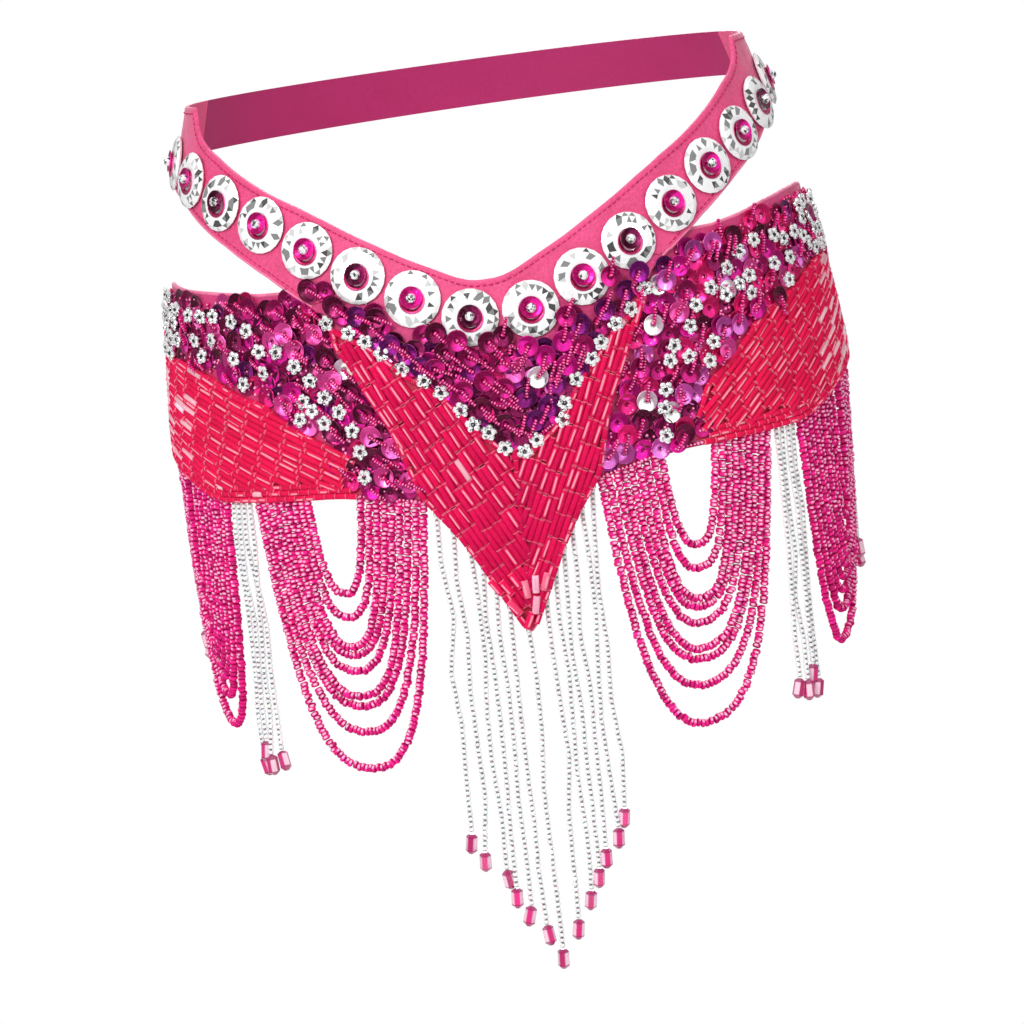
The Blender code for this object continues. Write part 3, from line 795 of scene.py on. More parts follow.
def facet_material(name, stops, metallic=0.5, roughness=0.08, heart=0.0):
    """Cut stone: each facet takes its tone from its own number, as a painted reflection. heart is a
    dark middle.
    """
    found = bpy.data.materials.get(name)
    if found:
        return found
    made, tree, shader = new_material(name)
    # each facet's tone is a painted reflection: light on most facets, dark on some
    facet = node(tree, "Attribute", attribute_name="facet")
    ramp = node(tree, "ValToRGB", {"Fac": facet.outputs["Fac"]})
    ramp.color_ramp.interpolation = "CONSTANT"
    elements = ramp.color_ramp.elements
    while len(elements) < len(stops):
        elements.new(0.5)
    for element, (at, tone) in zip(elements, stops):
        element.position = at
        element.color = (tone, tone, tone * 1.01, 1)
    tone = ramp.outputs["Color"]
    if heart:
        local = node(tree, "Attribute", attribute_name="local")
        flat = node(tree, "VectorMath", {0: local.outputs["Vector"], 1: (1, 1, 0)},
                    operation="MULTIPLY")
        reach = node(tree, "VectorMath", {0: flat.outputs[0]}, operation="LENGTH")
        tone = mixed(tree, ranged(tree, reach.outputs["Value"], heart, heart + 0.08, 1.0, 0.0),
                     tone, (0.02, 0.02, 0.025, 1))
    flaws = node(tree, "Group", {"Colour": tone, "Smoothest": roughness,
                                 "Roughest": roughness + 0.12}, node_tree=flaws_group())
    tree.links.new(flaws.outputs["Colour"], shader.inputs["Base Color"])
    tree.links.new(flaws.outputs["Roughness"], shader.inputs["Roughness"])
    settings(shader, Metallic=metallic, Coat_Weight=0.7, Coat_Roughness=0.04)
    return made


# Small shapes

def seed_shape(diameter, length, sides=8):
    r, h = diameter * 500.0, length * 500.0
    profile = ((0, -0.7 * h), (0.60 * r, -h), (0.93 * r, -0.66 * h), (r, 0),
               (0.93 * r, 0.66 * h), (0.60 * r, h), (0, 0.7 * h))
    return Shape(turned(profile, sides), size=h / 1000.0)


def small_seed_shape(diameter, length):
    r, h = diameter * 500.0, length * 500.0
    profile = ((0, -0.8 * h), (0.5 * r, -h), (r, -0.4 * h), (r, 0.4 * h), (0.5 * r, h),
               (0, 0.8 * h))
    return Shape(turned(profile, 6), size=h / 1000.0)


def bugle_shape(diameter, length):
    """A glass tube with eased ends and an open hole."""
    bm = bmesh.new()
    bmesh.ops.create_cone(bm, cap_ends=True, cap_tris=False, segments=9,
                          radius1=diameter / 2, radius2=diameter / 2, depth=length)
    ends = [f for f in bm.faces if len(f.verts) == 9]
    bmesh.ops.inset_individual(bm, faces=ends, thickness=diameter * 0.05, depth=diameter * 0.04)
    bmesh.ops.inset_individual(bm, faces=ends, thickness=diameter * 0.20, depth=0.0)
    bmesh.ops.inset_individual(bm, faces=ends, thickness=diameter * 0.04, depth=-diameter * 0.4)
    return Shape(bm, size=length / 2)


def sequin_shape(diameter):
    r = diameter * 500.0
    profile = ((0.13 * r, 0.06), (0.42 * r, 0.10), (0.90 * r, 0.95), (r, 1.00), (r, 0.86),
               (0.91 * r, 0.80), (0.44 * r, -0.04), (0.13 * r, -0.08))
    return Shape(turned(profile, 18, closed=True), size=r / 1000.0)


def blossom_shape(radius):
    """A small rhinestone flower: five round cut stones about a dark cup with a sixth."""
    bm = bmesh.new()
    for k in range(5):
        a = 2 * math.pi * k / 5
        spot = Matrix.Translation((0.60 * radius * math.cos(a), 0.60 * radius * math.sin(a), 0))
        bmesh.ops.create_icosphere(bm, subdivisions=2, radius=radius * 0.42, matrix=spot)
    bmesh.ops.create_icosphere(bm, subdivisions=1, radius=radius * 0.20,
                               matrix=Matrix.Translation((0, 0, radius * 0.30)))
    bmesh.ops.scale(bm, verts=bm.verts, vec=(1, 1, 0.72))
    return Shape(bm, smooth=False, size=radius)


def stone_shape():
    """A clear coin stone, its crown cut in a ring of triangles."""
    sides = 21
    bm = turned(((0, 0), (13.9, 0), (COIN_RADIUS, 0.9), (12.4, 2.2), (9.0, 2.9),
                 (6.4, 3.0), (6.0, 2.5), (0, 2.5)), sides)
    ring = [v for v in bm.verts if 0.0118 < v.co.xy.length < 0.0128]
    bmesh.ops.rotate(bm, verts=ring, cent=(0, 0, 0),
                     matrix=Matrix.Rotation(math.pi / sides, 3, "Z"))
    crown = [f for f in bm.faces if 0.0090 < f.calc_center_median().xy.length < 0.0138
             and f.calc_center_median().z > 0.0010]
    bmesh.ops.triangulate(bm, faces=crown, quad_method="SHORT_EDGE")
    return Shape(bm, smooth=False, size=COIN_RADIUS / 1000.0)


def cup_shape():
    return Shape(turned(((0, 0.5), (2.6, 0.5), (5.2, 1.6), (5.7, 1.6), (5.7, 1.35), (2.8, 0.1),
                         (0, 0.1)), 18), smooth=False, size=0.0057)


def rim_shape():
    return Shape(turned(((4.4, 0.1), (6.4, 0.85), (6.7, 0.8), (6.7, 0.5), (4.4, -0.2)), 20,
                        closed=True), size=0.0067)


def drop_shape():
    """A six-sided end bead, narrowed at the thread and pointed below."""
    bm = turned(((0, 0), (1.3, 0), (2.95, -1.2), (3.05, -8.7), (1.2, -10.4), (0, -10.6)), 6)
    return Shape(bm, smooth=False, size=0.0106)


def crystal_shape(radius):
    bm = bmesh.new()
    bmesh.ops.create_icosphere(bm, subdivisions=2, radius=radius)
    return Shape(bm, smooth=False, size=radius)


def stitch_shape(length):
    bm = bmesh.new()
    bmesh.ops.create_cone(bm, cap_ends=True, segments=6, radius1=0.0003, radius2=0.0003,
                          depth=length)
    ends = [e for e in bm.edges if abs(e.verts[0].co.z - e.verts[1].co.z) < 1e-6]
    bmesh.ops.bevel(bm, geom=ends, offset=0.00018, segments=1, profile=0.5, affect="EDGES",
                    material=-1)
    return Shape(bm, size=length / 2)


# Laying beads

def pointing(angle, z_mm, slope, off):
    """Places with X outwards and Z along the cloth at a slope in degrees."""
    across, up, out = hip_axes(angle, z_mm, off)
    s = np.radians(slope)[..., None]
    along = unit(across * np.cos(s) + up * np.sin(s))
    return hip_points(angle, z_mm, off), (out, np.cross(along, out), along)


def facing(angle, z_mm, off, spin, tilt=0.0, tilt_way=0.0):
    """Places with Z outwards, tilted a little, and turned about it."""
    across, up, out = hip_axes(angle, z_mm, off)
    spin, tilt, way = (np.radians(np.broadcast_to(v, np.shape(angle)))[..., None]
                       for v in (spin, tilt, tilt_way))
    lean = across * np.cos(way) + up * np.sin(way)
    z = unit(out * np.cos(tilt) + lean * np.sin(tilt))
    x = across * np.cos(spin) + up * np.sin(spin)
    y = unit(np.cross(z, x))
    return hip_points(angle, z_mm, off), (np.cross(y, z), y, z)


def rolled(axes, roll):
    """The same places turned about their Z axis by roll degrees."""
    x, y, z = axes
    r = np.radians(np.broadcast_to(roll, len(x)))[:, None]
    return (x * np.cos(r) + y * np.sin(r), -x * np.sin(r) + y * np.cos(r), z)


def scattered(inside, x_range, z_range, pitch, jitter, rng):
    """Flat places (x, z in mm) on a loose hexagonal layout, where inside allows them."""
    rows = np.arange(z_range[0], z_range[1], pitch * 0.866)
    spots = []
    for k, z in enumerate(rows):
        xs = np.arange(x_range[0] + (k % 2) * pitch / 2, x_range[1], pitch)
        spots.append(np.stack((xs, np.full_like(xs, z)), axis=1))
    spots = np.concatenate(spots)
    spots += rng.uniform(-jitter, jitter, spots.shape)
    return spots[inside(spots[:, 0], spots[:, 1])]


def strung(path, pitch, start=0.5):
    """Places and directions of beads threaded along a path of points."""
    run = np.concatenate(([0.0], np.cumsum(np.linalg.norm(np.diff(path, axis=0), axis=1))))
    at = np.arange(start * pitch, run[-1] - pitch * 0.4, pitch)
    spots = np.stack([np.interp(at, run, path[:, k]) for k in range(3)], axis=1)
    ahead = np.stack([np.interp(at + pitch * 0.4, run, path[:, k]) for k in range(3)], axis=1)
    behind = np.stack([np.interp(at - pitch * 0.4, run, path[:, k]) for k in range(3)], axis=1)
    return spots, unit(ahead - behind)


def thread_axes(along, out, rng, wobble=0.06, roll=25):
    """Beads on a thread: Z along it and X near the outward direction, the side of their painted
    glint.
    """
    along = unit(along + rng.normal(0, wobble, along.shape))
    x = unit(out - along * np.sum(out * along, axis=-1, keepdims=True))
    return rolled((x, np.cross(along, x), along), rng.normal(0, roll, len(along)))


def outwards(points):
    """Direction away from the hips at each point, about halfway to straight up: where the beads'
    painted glints face.
    """
    return unit(points / (HALF_WIDTH ** 2, HALF_DEPTH ** 2, 1e9) + (0, 0, 8.0))


# Properties

class HipBeltCloth(bpy.types.PropertyGroup):
    """Cloth of the belt."""
    satin: bpy.props.FloatVectorProperty(
        name="Satin", description="Colour of the pointed band", subtype="COLOR",
        default=SATIN, min=0.0, max=1.0)
    strap: bpy.props.FloatVectorProperty(
        name="Strap", description="Colour of the straps round the back", subtype="COLOR",
        default=STRAP, min=0.0, max=1.0)
    net: bpy.props.FloatVectorProperty(
        name="Ground", description="Colour of the cloth under the sequins", subtype="COLOR",
        default=NET, min=0.0, max=1.0)
    stitch: bpy.props.FloatProperty(
        name="Stitch", description="Length of one stitch along the band", unit="LENGTH",
        default=0.0022, min=0.001, max=0.005)


class HipBeltBeads(bpy.types.PropertyGroup):
    """Sizes and colours of the beadwork."""
    bugle_length: bpy.props.FloatProperty(
        name="Bugle Length", description="Length of the cut glass tubes", unit="LENGTH",
        default=0.0123, min=0.004, max=0.015)
    bugle_diameter: bpy.props.FloatProperty(
        name="Bugle Diameter", description="Width of the cut glass tubes", unit="LENGTH",
        default=0.0032, min=0.001, max=0.004)
    bugle_colour: bpy.props.FloatVectorProperty(
        name="Bugle Colour", description="Colour of the tubes on the centre panel",
        subtype="COLOR", default=BUGLE, min=0.0, max=1.0)
    leaf_colour: bpy.props.FloatVectorProperty(
        name="Leaf Colour", description="Colour of the tubes on the hips", subtype="COLOR",
        default=LEAF_BUGLE, min=0.0, max=1.0)
    sequin_diameter: bpy.props.FloatProperty(
        name="Sequin Diameter", description="Width of a cup sequin", unit="LENGTH",
        default=0.0110, min=0.005, max=0.02)
    seed_diameter: bpy.props.FloatProperty(
        name="Seed Diameter", description="Width of a bead in the loops", unit="LENGTH",
        default=0.0044, min=0.001, max=0.006)
    seed_length: bpy.props.FloatProperty(
        name="Seed Length", description="Pitch of the beads in the loops", unit="LENGTH",
        default=0.0023, min=0.001, max=0.004)
    seed_colour: bpy.props.FloatVectorProperty(
        name="Seed Colour", description="Colour of the beads in the loops", subtype="COLOR",
        default=SEED, min=0.0, max=1.0)
    clear_diameter: bpy.props.FloatProperty(
        name="Clear Diameter", description="Width of a bead in the straight strands",
        unit="LENGTH", default=0.0028, min=0.001, max=0.004)
    clear_colour: bpy.props.FloatVectorProperty(
        name="Clear Colour", description="Colour of the silver-lined beads",
        subtype="COLOR", default=CLEAR, min=0.0, max=1.0)


class HipBeltStage(bpy.types.PropertyGroup):
    """Light about the belt."""
    key_power: bpy.props.FloatProperty(
        name="Key Light", description="Power of the large front light", unit="POWER",
        default=36.0, min=0.0, max=500.0)
    spark_power: bpy.props.FloatProperty(
        name="Spark Lights", description="Power of each small light", unit="POWER",
        default=5.0, min=0.0, max=100.0)
    surround: bpy.props.FloatProperty(
        name="Surround", description="Brightness of the white surround", subtype="FACTOR",
        default=0.52, min=0.0, max=2.0)


# Operators

class HIPBELT_OT_band(bpy.types.Operator):
    """Make the satin band with its hems, stitches and piping"""
    bl_idname = "hipbelt.band"
    bl_label = "Band"

    def execute(self, context):
        look = context.scene.hip_belt_cloth
        satin = cloth_material("pink satin", tuple(look.satin), mottling=0.55, sheen=0.5)
        rows = (0, 0.03, 0.07, 0.12, 0.17, 0.25, 0.36, 0.5, 0.64, 0.75, 0.83, 0.88, 0.93, 0.97, 1)
        marks = mirrored(BAND_TOP) + mirrored(BAND_LOW)
        angles = steps(-BACK_SEAM + SEAM_ANGLE, BACK_SEAM - SEAM_ANGLE, marks, 1.3)

        def low(a):
            return edge(BAND_LOW, a)

        band = cloth("band_satin", angles, low, band_high, OVER, rows, [satin], BAND_CREASES,
                     hem=BAND_HEM)
        place(band, ["front_band"])
        # the stitches darken towards their ends: painted shade where they go into the cloth
        thread = bead_material("pink thread", (0.30, 0.005, 0.06), shade=0.5, start=0.6,
                               cloud=0.2, glint=0.0, coat=0.0, gloss=0.6)
        # one line of stitches along the top, and one along the lower edge of each hip
        off, pitch = OVER + WALL, look.stitch * 1.5
        above = np.linspace(-BACK_SEAM + 0.6, BACK_SEAM - 0.6, 900)
        below = np.linspace(33, 109, 400)
        lines = [evenly(above, band_high(above) - BAND_HEM, off, pitch)]
        lines += [evenly(s * below, low(below) + BAND_HEM, off, pitch) for s in (-1, 1)]
        angle, z = (np.concatenate([line[k] for line in lines]) for k in (0, 1))
        slope = np.concatenate([run_slope(*line) for line in lines])
        spots, axes = pointing(angle, z, slope, off - 0.0001)
        rng = np.random.default_rng(3)
        stitches = tile("band_stitches", stitch_shape(look.stitch), spots, axes,
                        varied((0.58, 0.015, 0.12), len(spots), rng), thread)
        place(stitches)
        piping = pink_piping()
        for side, word in ((-1, "right"), (1, "left")):
            a = side * np.linspace(109.5, 33.0, 160)
            z = edge(BAND_LOW, a)
            b = side * np.array([r[0] for r in PANEL_LOW[:-1]])[::-1]
            b = np.interp(np.linspace(0, 1, 90), np.linspace(0, 1, len(b)), b)
            cord = piping_cord("band_piping_" + word, np.concatenate((a, b)),
                               np.concatenate((z + 0.1, edge(PANEL_LOW, b) + 0.1)),
                               OVER + 0.0012, 0.0008, piping)
            place(cord)
        area_of(angles, low, band_high)
        return {"FINISHED"}


def run_slope(angle, z_mm):
    """Slope of a run of places on the cloth, in degrees."""
    x = flat_x(angle, z_mm)
    return np.degrees(np.arctan2(np.gradient(z_mm), np.gradient(x)))


def area_of(angles, low, high):
    """Flat area in square metres of a piece of cloth."""
    heights = high(angles) - low(angles)
    middle = (high(angles) + low(angles)) / 2
    x = flat_x(angles, middle)
    return float(np.sum((heights[1:] + heights[:-1]) / 2 * np.abs(np.diff(x)))) / 1e6


def piping_cord(name, angle, z_mm, off, radius, material):
    """A round cord along an edge: a ring of points drawn along the edge's own points."""
    spots = hip_points(angle, z_mm, off)
    along = unit(np.gradient(spots, axis=0))
    out = hip_axes(angle, z_mm, off)[2]
    side = unit(np.cross(along, out))
    bm = bmesh.new()
    uv_layer = bm.loops.layers.uv.new("cloth")
    ring = bmesh.ops.create_circle(bm, cap_ends=False, radius=radius, segments=8)["verts"]
    for v in ring:
        v.co = Vector(spots[0] + v.co.x * side[0] + v.co.y * out[0])
    edges = list(bm.edges)
    for k in range(1, len(spots)):
        fresh = bmesh.ops.extrude_edge_only(bm, edges=edges)["geom"]
        edges = [g for g in fresh if isinstance(g, bmesh.types.BMEdge)]
        for v in (g for g in fresh if isinstance(g, bmesh.types.BMVert)):
            from_last = np.array(v.co) - spots[k - 1]
            v.co = Vector(spots[k] + from_last.dot(side[k - 1]) * side[k]
                          + from_last.dot(out[k - 1]) * out[k])
    for face in bm.faces:
        face.smooth = True
        for loop in face.loops:
            loop[uv_layer].uv = (loop.vert.co.x + loop.vert.co.y, loop.vert.co.z)
    bmesh.ops.holes_fill(bm, edges=[e for e in bm.edges if e.is_boundary], sides=8)
    bmesh.ops.recalc_face_normals(bm, faces=bm.faces)
    return mesh_object(bm, name, [material])


class HIPBELT_OT_straps(bpy.types.Operator):
    """Make the two plain straps that close the belt at the back"""
    bl_idname = "hipbelt.straps"
    bl_label = "Straps"

    def execute(self, context):
        look = context.scene.hip_belt_cloth
        plain = cloth_material("strap cloth", tuple(look.strap), mottling=0.2, sheen=0.1)
        rows = (0, 0.05, 0.1, 0.2, 0.35, 0.5, 0.65, 0.8, 0.9, 0.95, 1)
        angles = steps(BACK_SEAM, 360 - BACK_SEAM, (), 1.6)
        low = level(STRAP_LOW)
        strap = cloth("back_strap_cloth", angles, low, strap_high, OVER, rows, [plain],
                      STRAP_CREASES, hem=STRAP_HEM)
        place(strap, ["back_strap"])
        area_of(angles, low, strap_high)
        angles = steps(HIP_END + SEAM_ANGLE, 360 - HIP_END - SEAM_ANGLE, (), 1.6)
        low, high = level(HIP_STRAP_LOW), level(HIP_STRAP_HIGH)
        strap = cloth("back_hip_strap_cloth", angles, low, high, UNDER, rows, [plain],
                      HIP_STRAP_CREASES, hem=STRAP_HEM)
        place(strap, ["back_hip_strap"])
        area_of(angles, low, high)
        return {"FINISHED"}


def level(height):
    """An edge that stays at one height."""
    return lambda angle: 0 * angle + height


def foil_material():
    """Clear coloured foil with painted light and shade, as a cup sequin shows: a lit crescent round
    a dish of painted shade, and a painted highlight on the rim.
    """
    found = bpy.data.materials.get("sequin foil with painted light")
    if found:
        return found
    made, tree, shader = new_material("sequin foil with painted light")
    tint = node(tree, "Attribute", attribute_name="tint")
    local = node(tree, "Attribute", attribute_name="local")
    facet = node(tree, "Attribute", attribute_name="facet")
    flat = node(tree, "VectorMath", {0: local.outputs["Vector"], 1: (1, 1, 0)},
                operation="MULTIPLY")
    # painted light: lit round a point off the middle towards +X, shaded beyond it
    bowl = node(tree, "VectorMath", {0: flat.outputs[0], 1: (0.42, 0.0, 0.0)},
                operation="DISTANCE")
    light = ranged(tree, bowl.outputs["Value"], 0.58, 0.78, 1.0, 0.0)
    coordinates = node(tree, "TexCoord")
    grain = node(tree, "TexNoise", {"Vector": coordinates.outputs["Object"], "Scale": 1500.0,
                                    "Detail": 1.0})
    light = node(tree, "Math", {0: light, 1: ranged(tree, grain.outputs["Fac"], 0.3, 0.7,
                                                    0.55, 1.0)}, operation="MULTIPLY").outputs[0]
    # lit and shaded copies of the tint, for the painted light and shade
    tint_colour = tint.outputs["Color"]
    bright = mixed(tree, 1.0, mixed(tree, 1.0, tint_colour, (2.0, 3.2, 2.4, 1), "MULTIPLY"),
                   (0.20, 0.012, 0.08, 1), "ADD")
    dark = mixed(tree, 1.0, tint_colour, (0.72, 0.55, 0.66, 1), "MULTIPLY")
    tone = mixed(tree, light, dark, bright)
    spark = ranged(tree, grain.outputs["Fac"], 0.60, 0.72, 0.0, 0.35)
    tone = mixed(tree, spark, tone, mixed(tree, 1.0, tone, (0.35, 0.08, 0.20, 1), "ADD"))
    reach = node(tree, "VectorMath", {0: flat.outputs[0]}, operation="LENGTH")
    # painted shade in the dish about the hole
    dish = ranged(tree, reach.outputs["Value"], 0.27, 0.36, 0.8, 0.0)
    tone = mixed(tree, dish, tone, mixed(tree, 1.0, tone, (0.30, 0.20, 0.26, 1), "MULTIPLY"))
    # painted highlight on the rim
    rim = ranged(tree, reach.outputs["Value"], 0.93, 1.0, 0.0, 0.4)
    tone = mixed(tree, rim, tone, mixed(tree, 1.0, tone, (0.25, 0.05, 0.13, 1), "ADD"))
    tree.links.new(tone, shader.inputs["Base Color"])
    tree.links.new(ranged(tree, facet.outputs["Fac"], 0.0, 1.0, 0.20, 0.38),
                   shader.inputs["Roughness"])
    settings(shader, Metallic=0.6, Specular_IOR_Level=0.2, Coat_Weight=0.08,
             Coat_Roughness=0.08)
    return made


def sequins_and_lines(name, spots, marked, column, off, beads, rng):
    """Cup sequins, each held by a short line of tiny beads.

    spots are flat places that take a colour by the table's shares. marked are angle,
    height and colour of the sequins that lie on top.
    """
    colours = np.array([row[:3] for row in SEQUINS])
    weights = np.array([row[column] for row in SEQUINS], float)
    marked = np.array(marked, float)
    angle = np.concatenate((angle_of(spots[:, 0], spots[:, 1]), marked[:, 0]))
    z = np.concatenate((spots[:, 1], marked[:, 1]))
    n, below = len(angle), len(spots)
    pick = rng.choice(len(SEQUINS), n, p=weights / weights.sum())
    pick[below:] = marked[:, 2]
    tints = np.clip(colours[pick] * np.exp(rng.normal(0, 0.15, (n, 1))), 0, 0.97)
    coins = coin_places()[0]

    def from_coins(points):
        return np.linalg.norm(points[:, None] - coins, axis=2).min(axis=1)

    near = from_coins(hip_points(angle, z, OVER + WALL)) < NEAR_COIN
    use = ~near | (np.arange(n) >= below)
    angle, z, tints, near = angle[use], z[use], tints[use], near[use]
    n, below = len(angle), int(use[:below].sum())
    lift = off + 0.0004 + rng.uniform(0, 0.0012, n)
    lift[below:] += 0.0014
    lift[near] += 0.0022
    down = np.where(angle < (2 if column == 3 else 0), rng.normal(-42, 9, n),
                    np.where(rng.random(n) < 0.5, rng.normal(62, 12, n), rng.normal(240, 12, n)))
    # the spin also sets where each sequin's painted lit side lies
    place_at, axes = facing(angle, z, lift, np.where(down > 0, 240, down) + rng.normal(0, 22, n),
                            rng.uniform(2, 10, n), rng.normal(-80, 45, n))
    cups = tile(name + "_sequins", sequin_shape(beads.sequin_diameter), place_at, axes, tints,
                foil_material(), seed=11)
    place(cups)
    base_across, base_up, base_out = hip_axes(angle, z, off)
    turn = np.radians(down)[:, None]
    way = base_across * np.cos(turn) + base_up * np.sin(turn)
    sewn = (np.arange(n) >= below) | (rng.random(n) < 0.3)
    sewn &= (from_coins(place_at + way * 0.0095) > LINES_END) | near
    place_at, way, base_out = place_at[sewn], way[sewn], base_out[sewn]
    count, pitch = 7, 0.00145
    where = np.concatenate([
        place_at + way * (0.0004 + pitch * k)
        + base_out * (0.0015 + 0.0006 * math.sin(math.pi * min(1.0, k / 4.5)))
        for k in range(count)])
    along, out = np.tile(way, (count, 1)), np.tile(base_out, (count, 1))
    seeds = tile(name + "_seed_lines", small_seed_shape(0.0022, pitch * 0.98), where,
                 thread_axes(along, out, rng), varied((0.60, 0.010, 0.16), len(where), rng, 0.3),
                 line_glass())
    place(seeds)
    return cups, seeds


def lay_bugles(name, x, z, slope, off, colour, beads, rng, length=None, pale=0.008,
               lit=0.5):
    """Bugle beads on the cloth.

    pale is the share of pale pink tubes at each place, the few among deep ones being painted
    highlights; lit is the share of those whose painted highlight line faces out.
    """
    n = len(x)
    angle = angle_of(x, z)
    lift = off + beads.bugle_diameter / 2 * 0.92 + rng.uniform(-0.0001, 0.0002, n)
    spots, (out, side, along) = pointing(angle, z, slope + rng.normal(0, 1.6, n), lift)
    along = unit(along + out * rng.normal(0, 0.025, n)[:, None])
    side = unit(np.cross(along, out))
    # lit tubes turn their painted highlight line outwards, the others turn it away
    roll = np.where(rng.random(n) < lit, rng.normal(12, 18, n), rng.uniform(90, 270, n))
    axes = rolled((np.cross(side, along), side, along), roll)
    tints = varied(colour, n, rng, 0.06)
    # pale pink tubes: painted highlights where they are few
    clear = rng.random(n) < pale
    tints[clear] = varied((0.95, 0.48, 0.56), int(clear.sum()), rng, 0.12)
    tubes = tile(name, bugle_shape(beads.bugle_diameter, length or beads.bugle_length), spots,
                 axes, tints, bugle_glass())
    return place(tubes)


class HIPBELT_OT_centre_panel(bpy.types.Operator):
    """Make the pointed centre panel with its chevron of bugles, sequins and stones"""
    bl_idname = "hipbelt.centre_panel"
    bl_label = "Centre Panel"

    def execute(self, context):
        look, beads = context.scene.hip_belt_cloth, context.scene.hip_belt_beads
        ground = panel_ground(look)
        end = PANEL_LOW[-1][0]
        angles = steps(-end, end, mirrored(PANEL_LOW + BAND_LOW), 0.9)

        def low(a):
            return edge(PANEL_LOW, a)

        def high(a):
            return edge(BAND_LOW, a) - GAP * 1000

        rows = np.linspace(0, 1, 29)
        panel = cloth("centre_cloth", angles, low, high, OVER, rows, [ground], PANEL_CREASES,
                      zone=lambda a, z: np.clip((chevron_top(a) - z) / 2 + 0.5, 0, 1))
        place(panel, ["centre_panel"])
        rng = np.random.default_rng(21)
        off = OVER + WALL
        # chevron: slanted rows, level from side to side, mitred under the centre
        pitch, step = beads.bugle_length + 0.0001, beads.bugle_diameter * 0.925
        slant = math.radians(63.0)
        xs, zs, slopes, lit = [], [], [], []
        for side in (-1, 1):
            dx, dz = math.cos(slant) * -side, -math.sin(slant)
            for k in range(-60, 60):
                base_x = side * k * step * 1000 / math.sin(slant)
                course = (-base_x * dx / (pitch * 1000) + 0.22 * ((k // 4) % 3)) % 1.0
                for m in range(-4, 40):
                    shift = course + 0.025 * rng.normal()
                    x = base_x + (m + shift) * pitch * 1000 * dx
                    z = -80 + (m + shift) * pitch * 1000 * dz
                    middle = mitre(z)
                    if (x - middle) * side < 0.2:
                        continue
                    xs.append(x)
                    zs.append(z)
                    slopes.append(math.degrees(math.atan2(dz, dx)))
                    # every other column turns its painted highlight line outwards
                    lit.append(0.08 if k % 2 else 0.9)
        xs, zs, slopes, lit = (np.array(v) for v in (xs, zs, slopes, lit))
        half = beads.bugle_length * 1000 / 2
        keep = np.ones(len(xs), bool)
        for share, margin in ((-0.85, 0.4), (0.0, 1.0), (0.85, 0.4)):
            px = xs + share * half * np.cos(np.radians(slopes))
            pz = zs + share * half * np.sin(np.radians(slopes))
            a = angle_of(px, pz)
            keep &= (pz > low(a) + margin) & (pz < np.minimum(chevron_top(a), high(a)) - margin)
            keep &= np.abs(a) < end
        # fewer painted highlight lines low in the point
        lit = lit[keep] * np.interp(zs[keep], (-215, -195, -178), (0.3, 0.3, 1.0))
        tubes = lay_bugles("centre_bugles", xs[keep], zs[keep], slopes[keep], off,
                           tuple(beads.bugle_colour), beads, rng, lit=lit)
        # shorter bugles close the edges that whole ones leave open
        edge_x, edge_z, edge_slope = [], [], []
        for side in (-1, 1):
            for table, inset, sign in ((low, 1.5, 1), (chevron_top, 1.2, -1)):
                a = side * np.linspace(0.7, 27.5, 260)
                z = table(a) + sign * inset
                a, z = evenly(a, z, off, 0.0062)
                ok = (z < np.minimum(chevron_top(a), high(a)) - 0.8) & (z > low(a) + 0.8)
                edge_x.append(flat_x(a, z)[ok])
                edge_z.append(z[ok])
                edge_slope.append(run_slope(a, z)[ok])
        rim = lay_bugles("centre_edge_bugles", np.concatenate(edge_x), np.concatenate(edge_z),
                         np.concatenate(edge_slope), off - 0.0002, tuple(beads.bugle_colour),
                         beads, rng, length=0.0056)
        # a line of short tubes closes the mitre
        z = np.arange(-163.0, -240.0, -5.7)
        x = np.array([mitre(v) for v in z])
        seam = lay_bugles("centre_mitre_bugles", x, z, np.full(len(z), 88.0), off - 0.0006,
                          tuple(beads.bugle_colour), beads, rng, length=0.0056,
                          lit=0.1)
        # larger clear tubes at the point
        a, z, slope, pale = np.array(TIP_TUBES).T
        spots, axes = pointing(a, z, slope, off + 0.0030 + 0.0004 * (pale > 0.5))
        # most turn their painted highlight line outwards
        axes = rolled(axes, rng.normal(10, 30, len(a)))
        tints = np.outer(1 - pale, (0.80, 0.008, 0.10)) + np.outer(pale, (0.95, 0.50, 0.66))
        point = tile("centre_point_tubes", bugle_shape(0.0036, 0.0088), spots, axes, tints,
                     bugle_glass())
        place(point)
        # a clear bead over the root of each strand
        a = np.array(CENTRE_ANGLES)
        spots, axes = pointing(a, low(a) - 0.9, np.zeros(len(a)), OVER + WALL * 0.6)
        roots = tile("centre_root_beads", seed_shape(0.0024, 0.0024), spots, axes,
                     varied(tuple(beads.clear_colour), len(a), rng, 0.05), clear_glass())
        place(roots)
        # sequins between the chevron and the coins
        spots = scattered(in_triangle, (-110, 110), (-162, -60), 8.2, 1.4, rng)
        cups, seeds = sequins_and_lines("centre", spots, CENTRE_SEQUINS, 3, off, beads, rng)
        # rhinestone flowers along the chevron's inner edge
        a, z = np.array(CHEVRON_STONES).T
        n = len(a)
        spots, axes = facing(a, z, off + 0.0024, rng.uniform(0, 72, n), rng.uniform(0, 16, n),
                             rng.uniform(0, 360, n))
        stones = tile("centre_stones", blossom_shape(0.0043), spots, axes, (1, 1, 1),
                      blossom_material(), seed=5)
        place(stones)
        area_of(angles, low, high)
        return {"FINISHED"}


def mitre(z):
    """Flat x of the chevron's centre line at a height."""
    return float(np.interp(z, (-253, -162, -80), (0.3, 4.4, 4.4)))


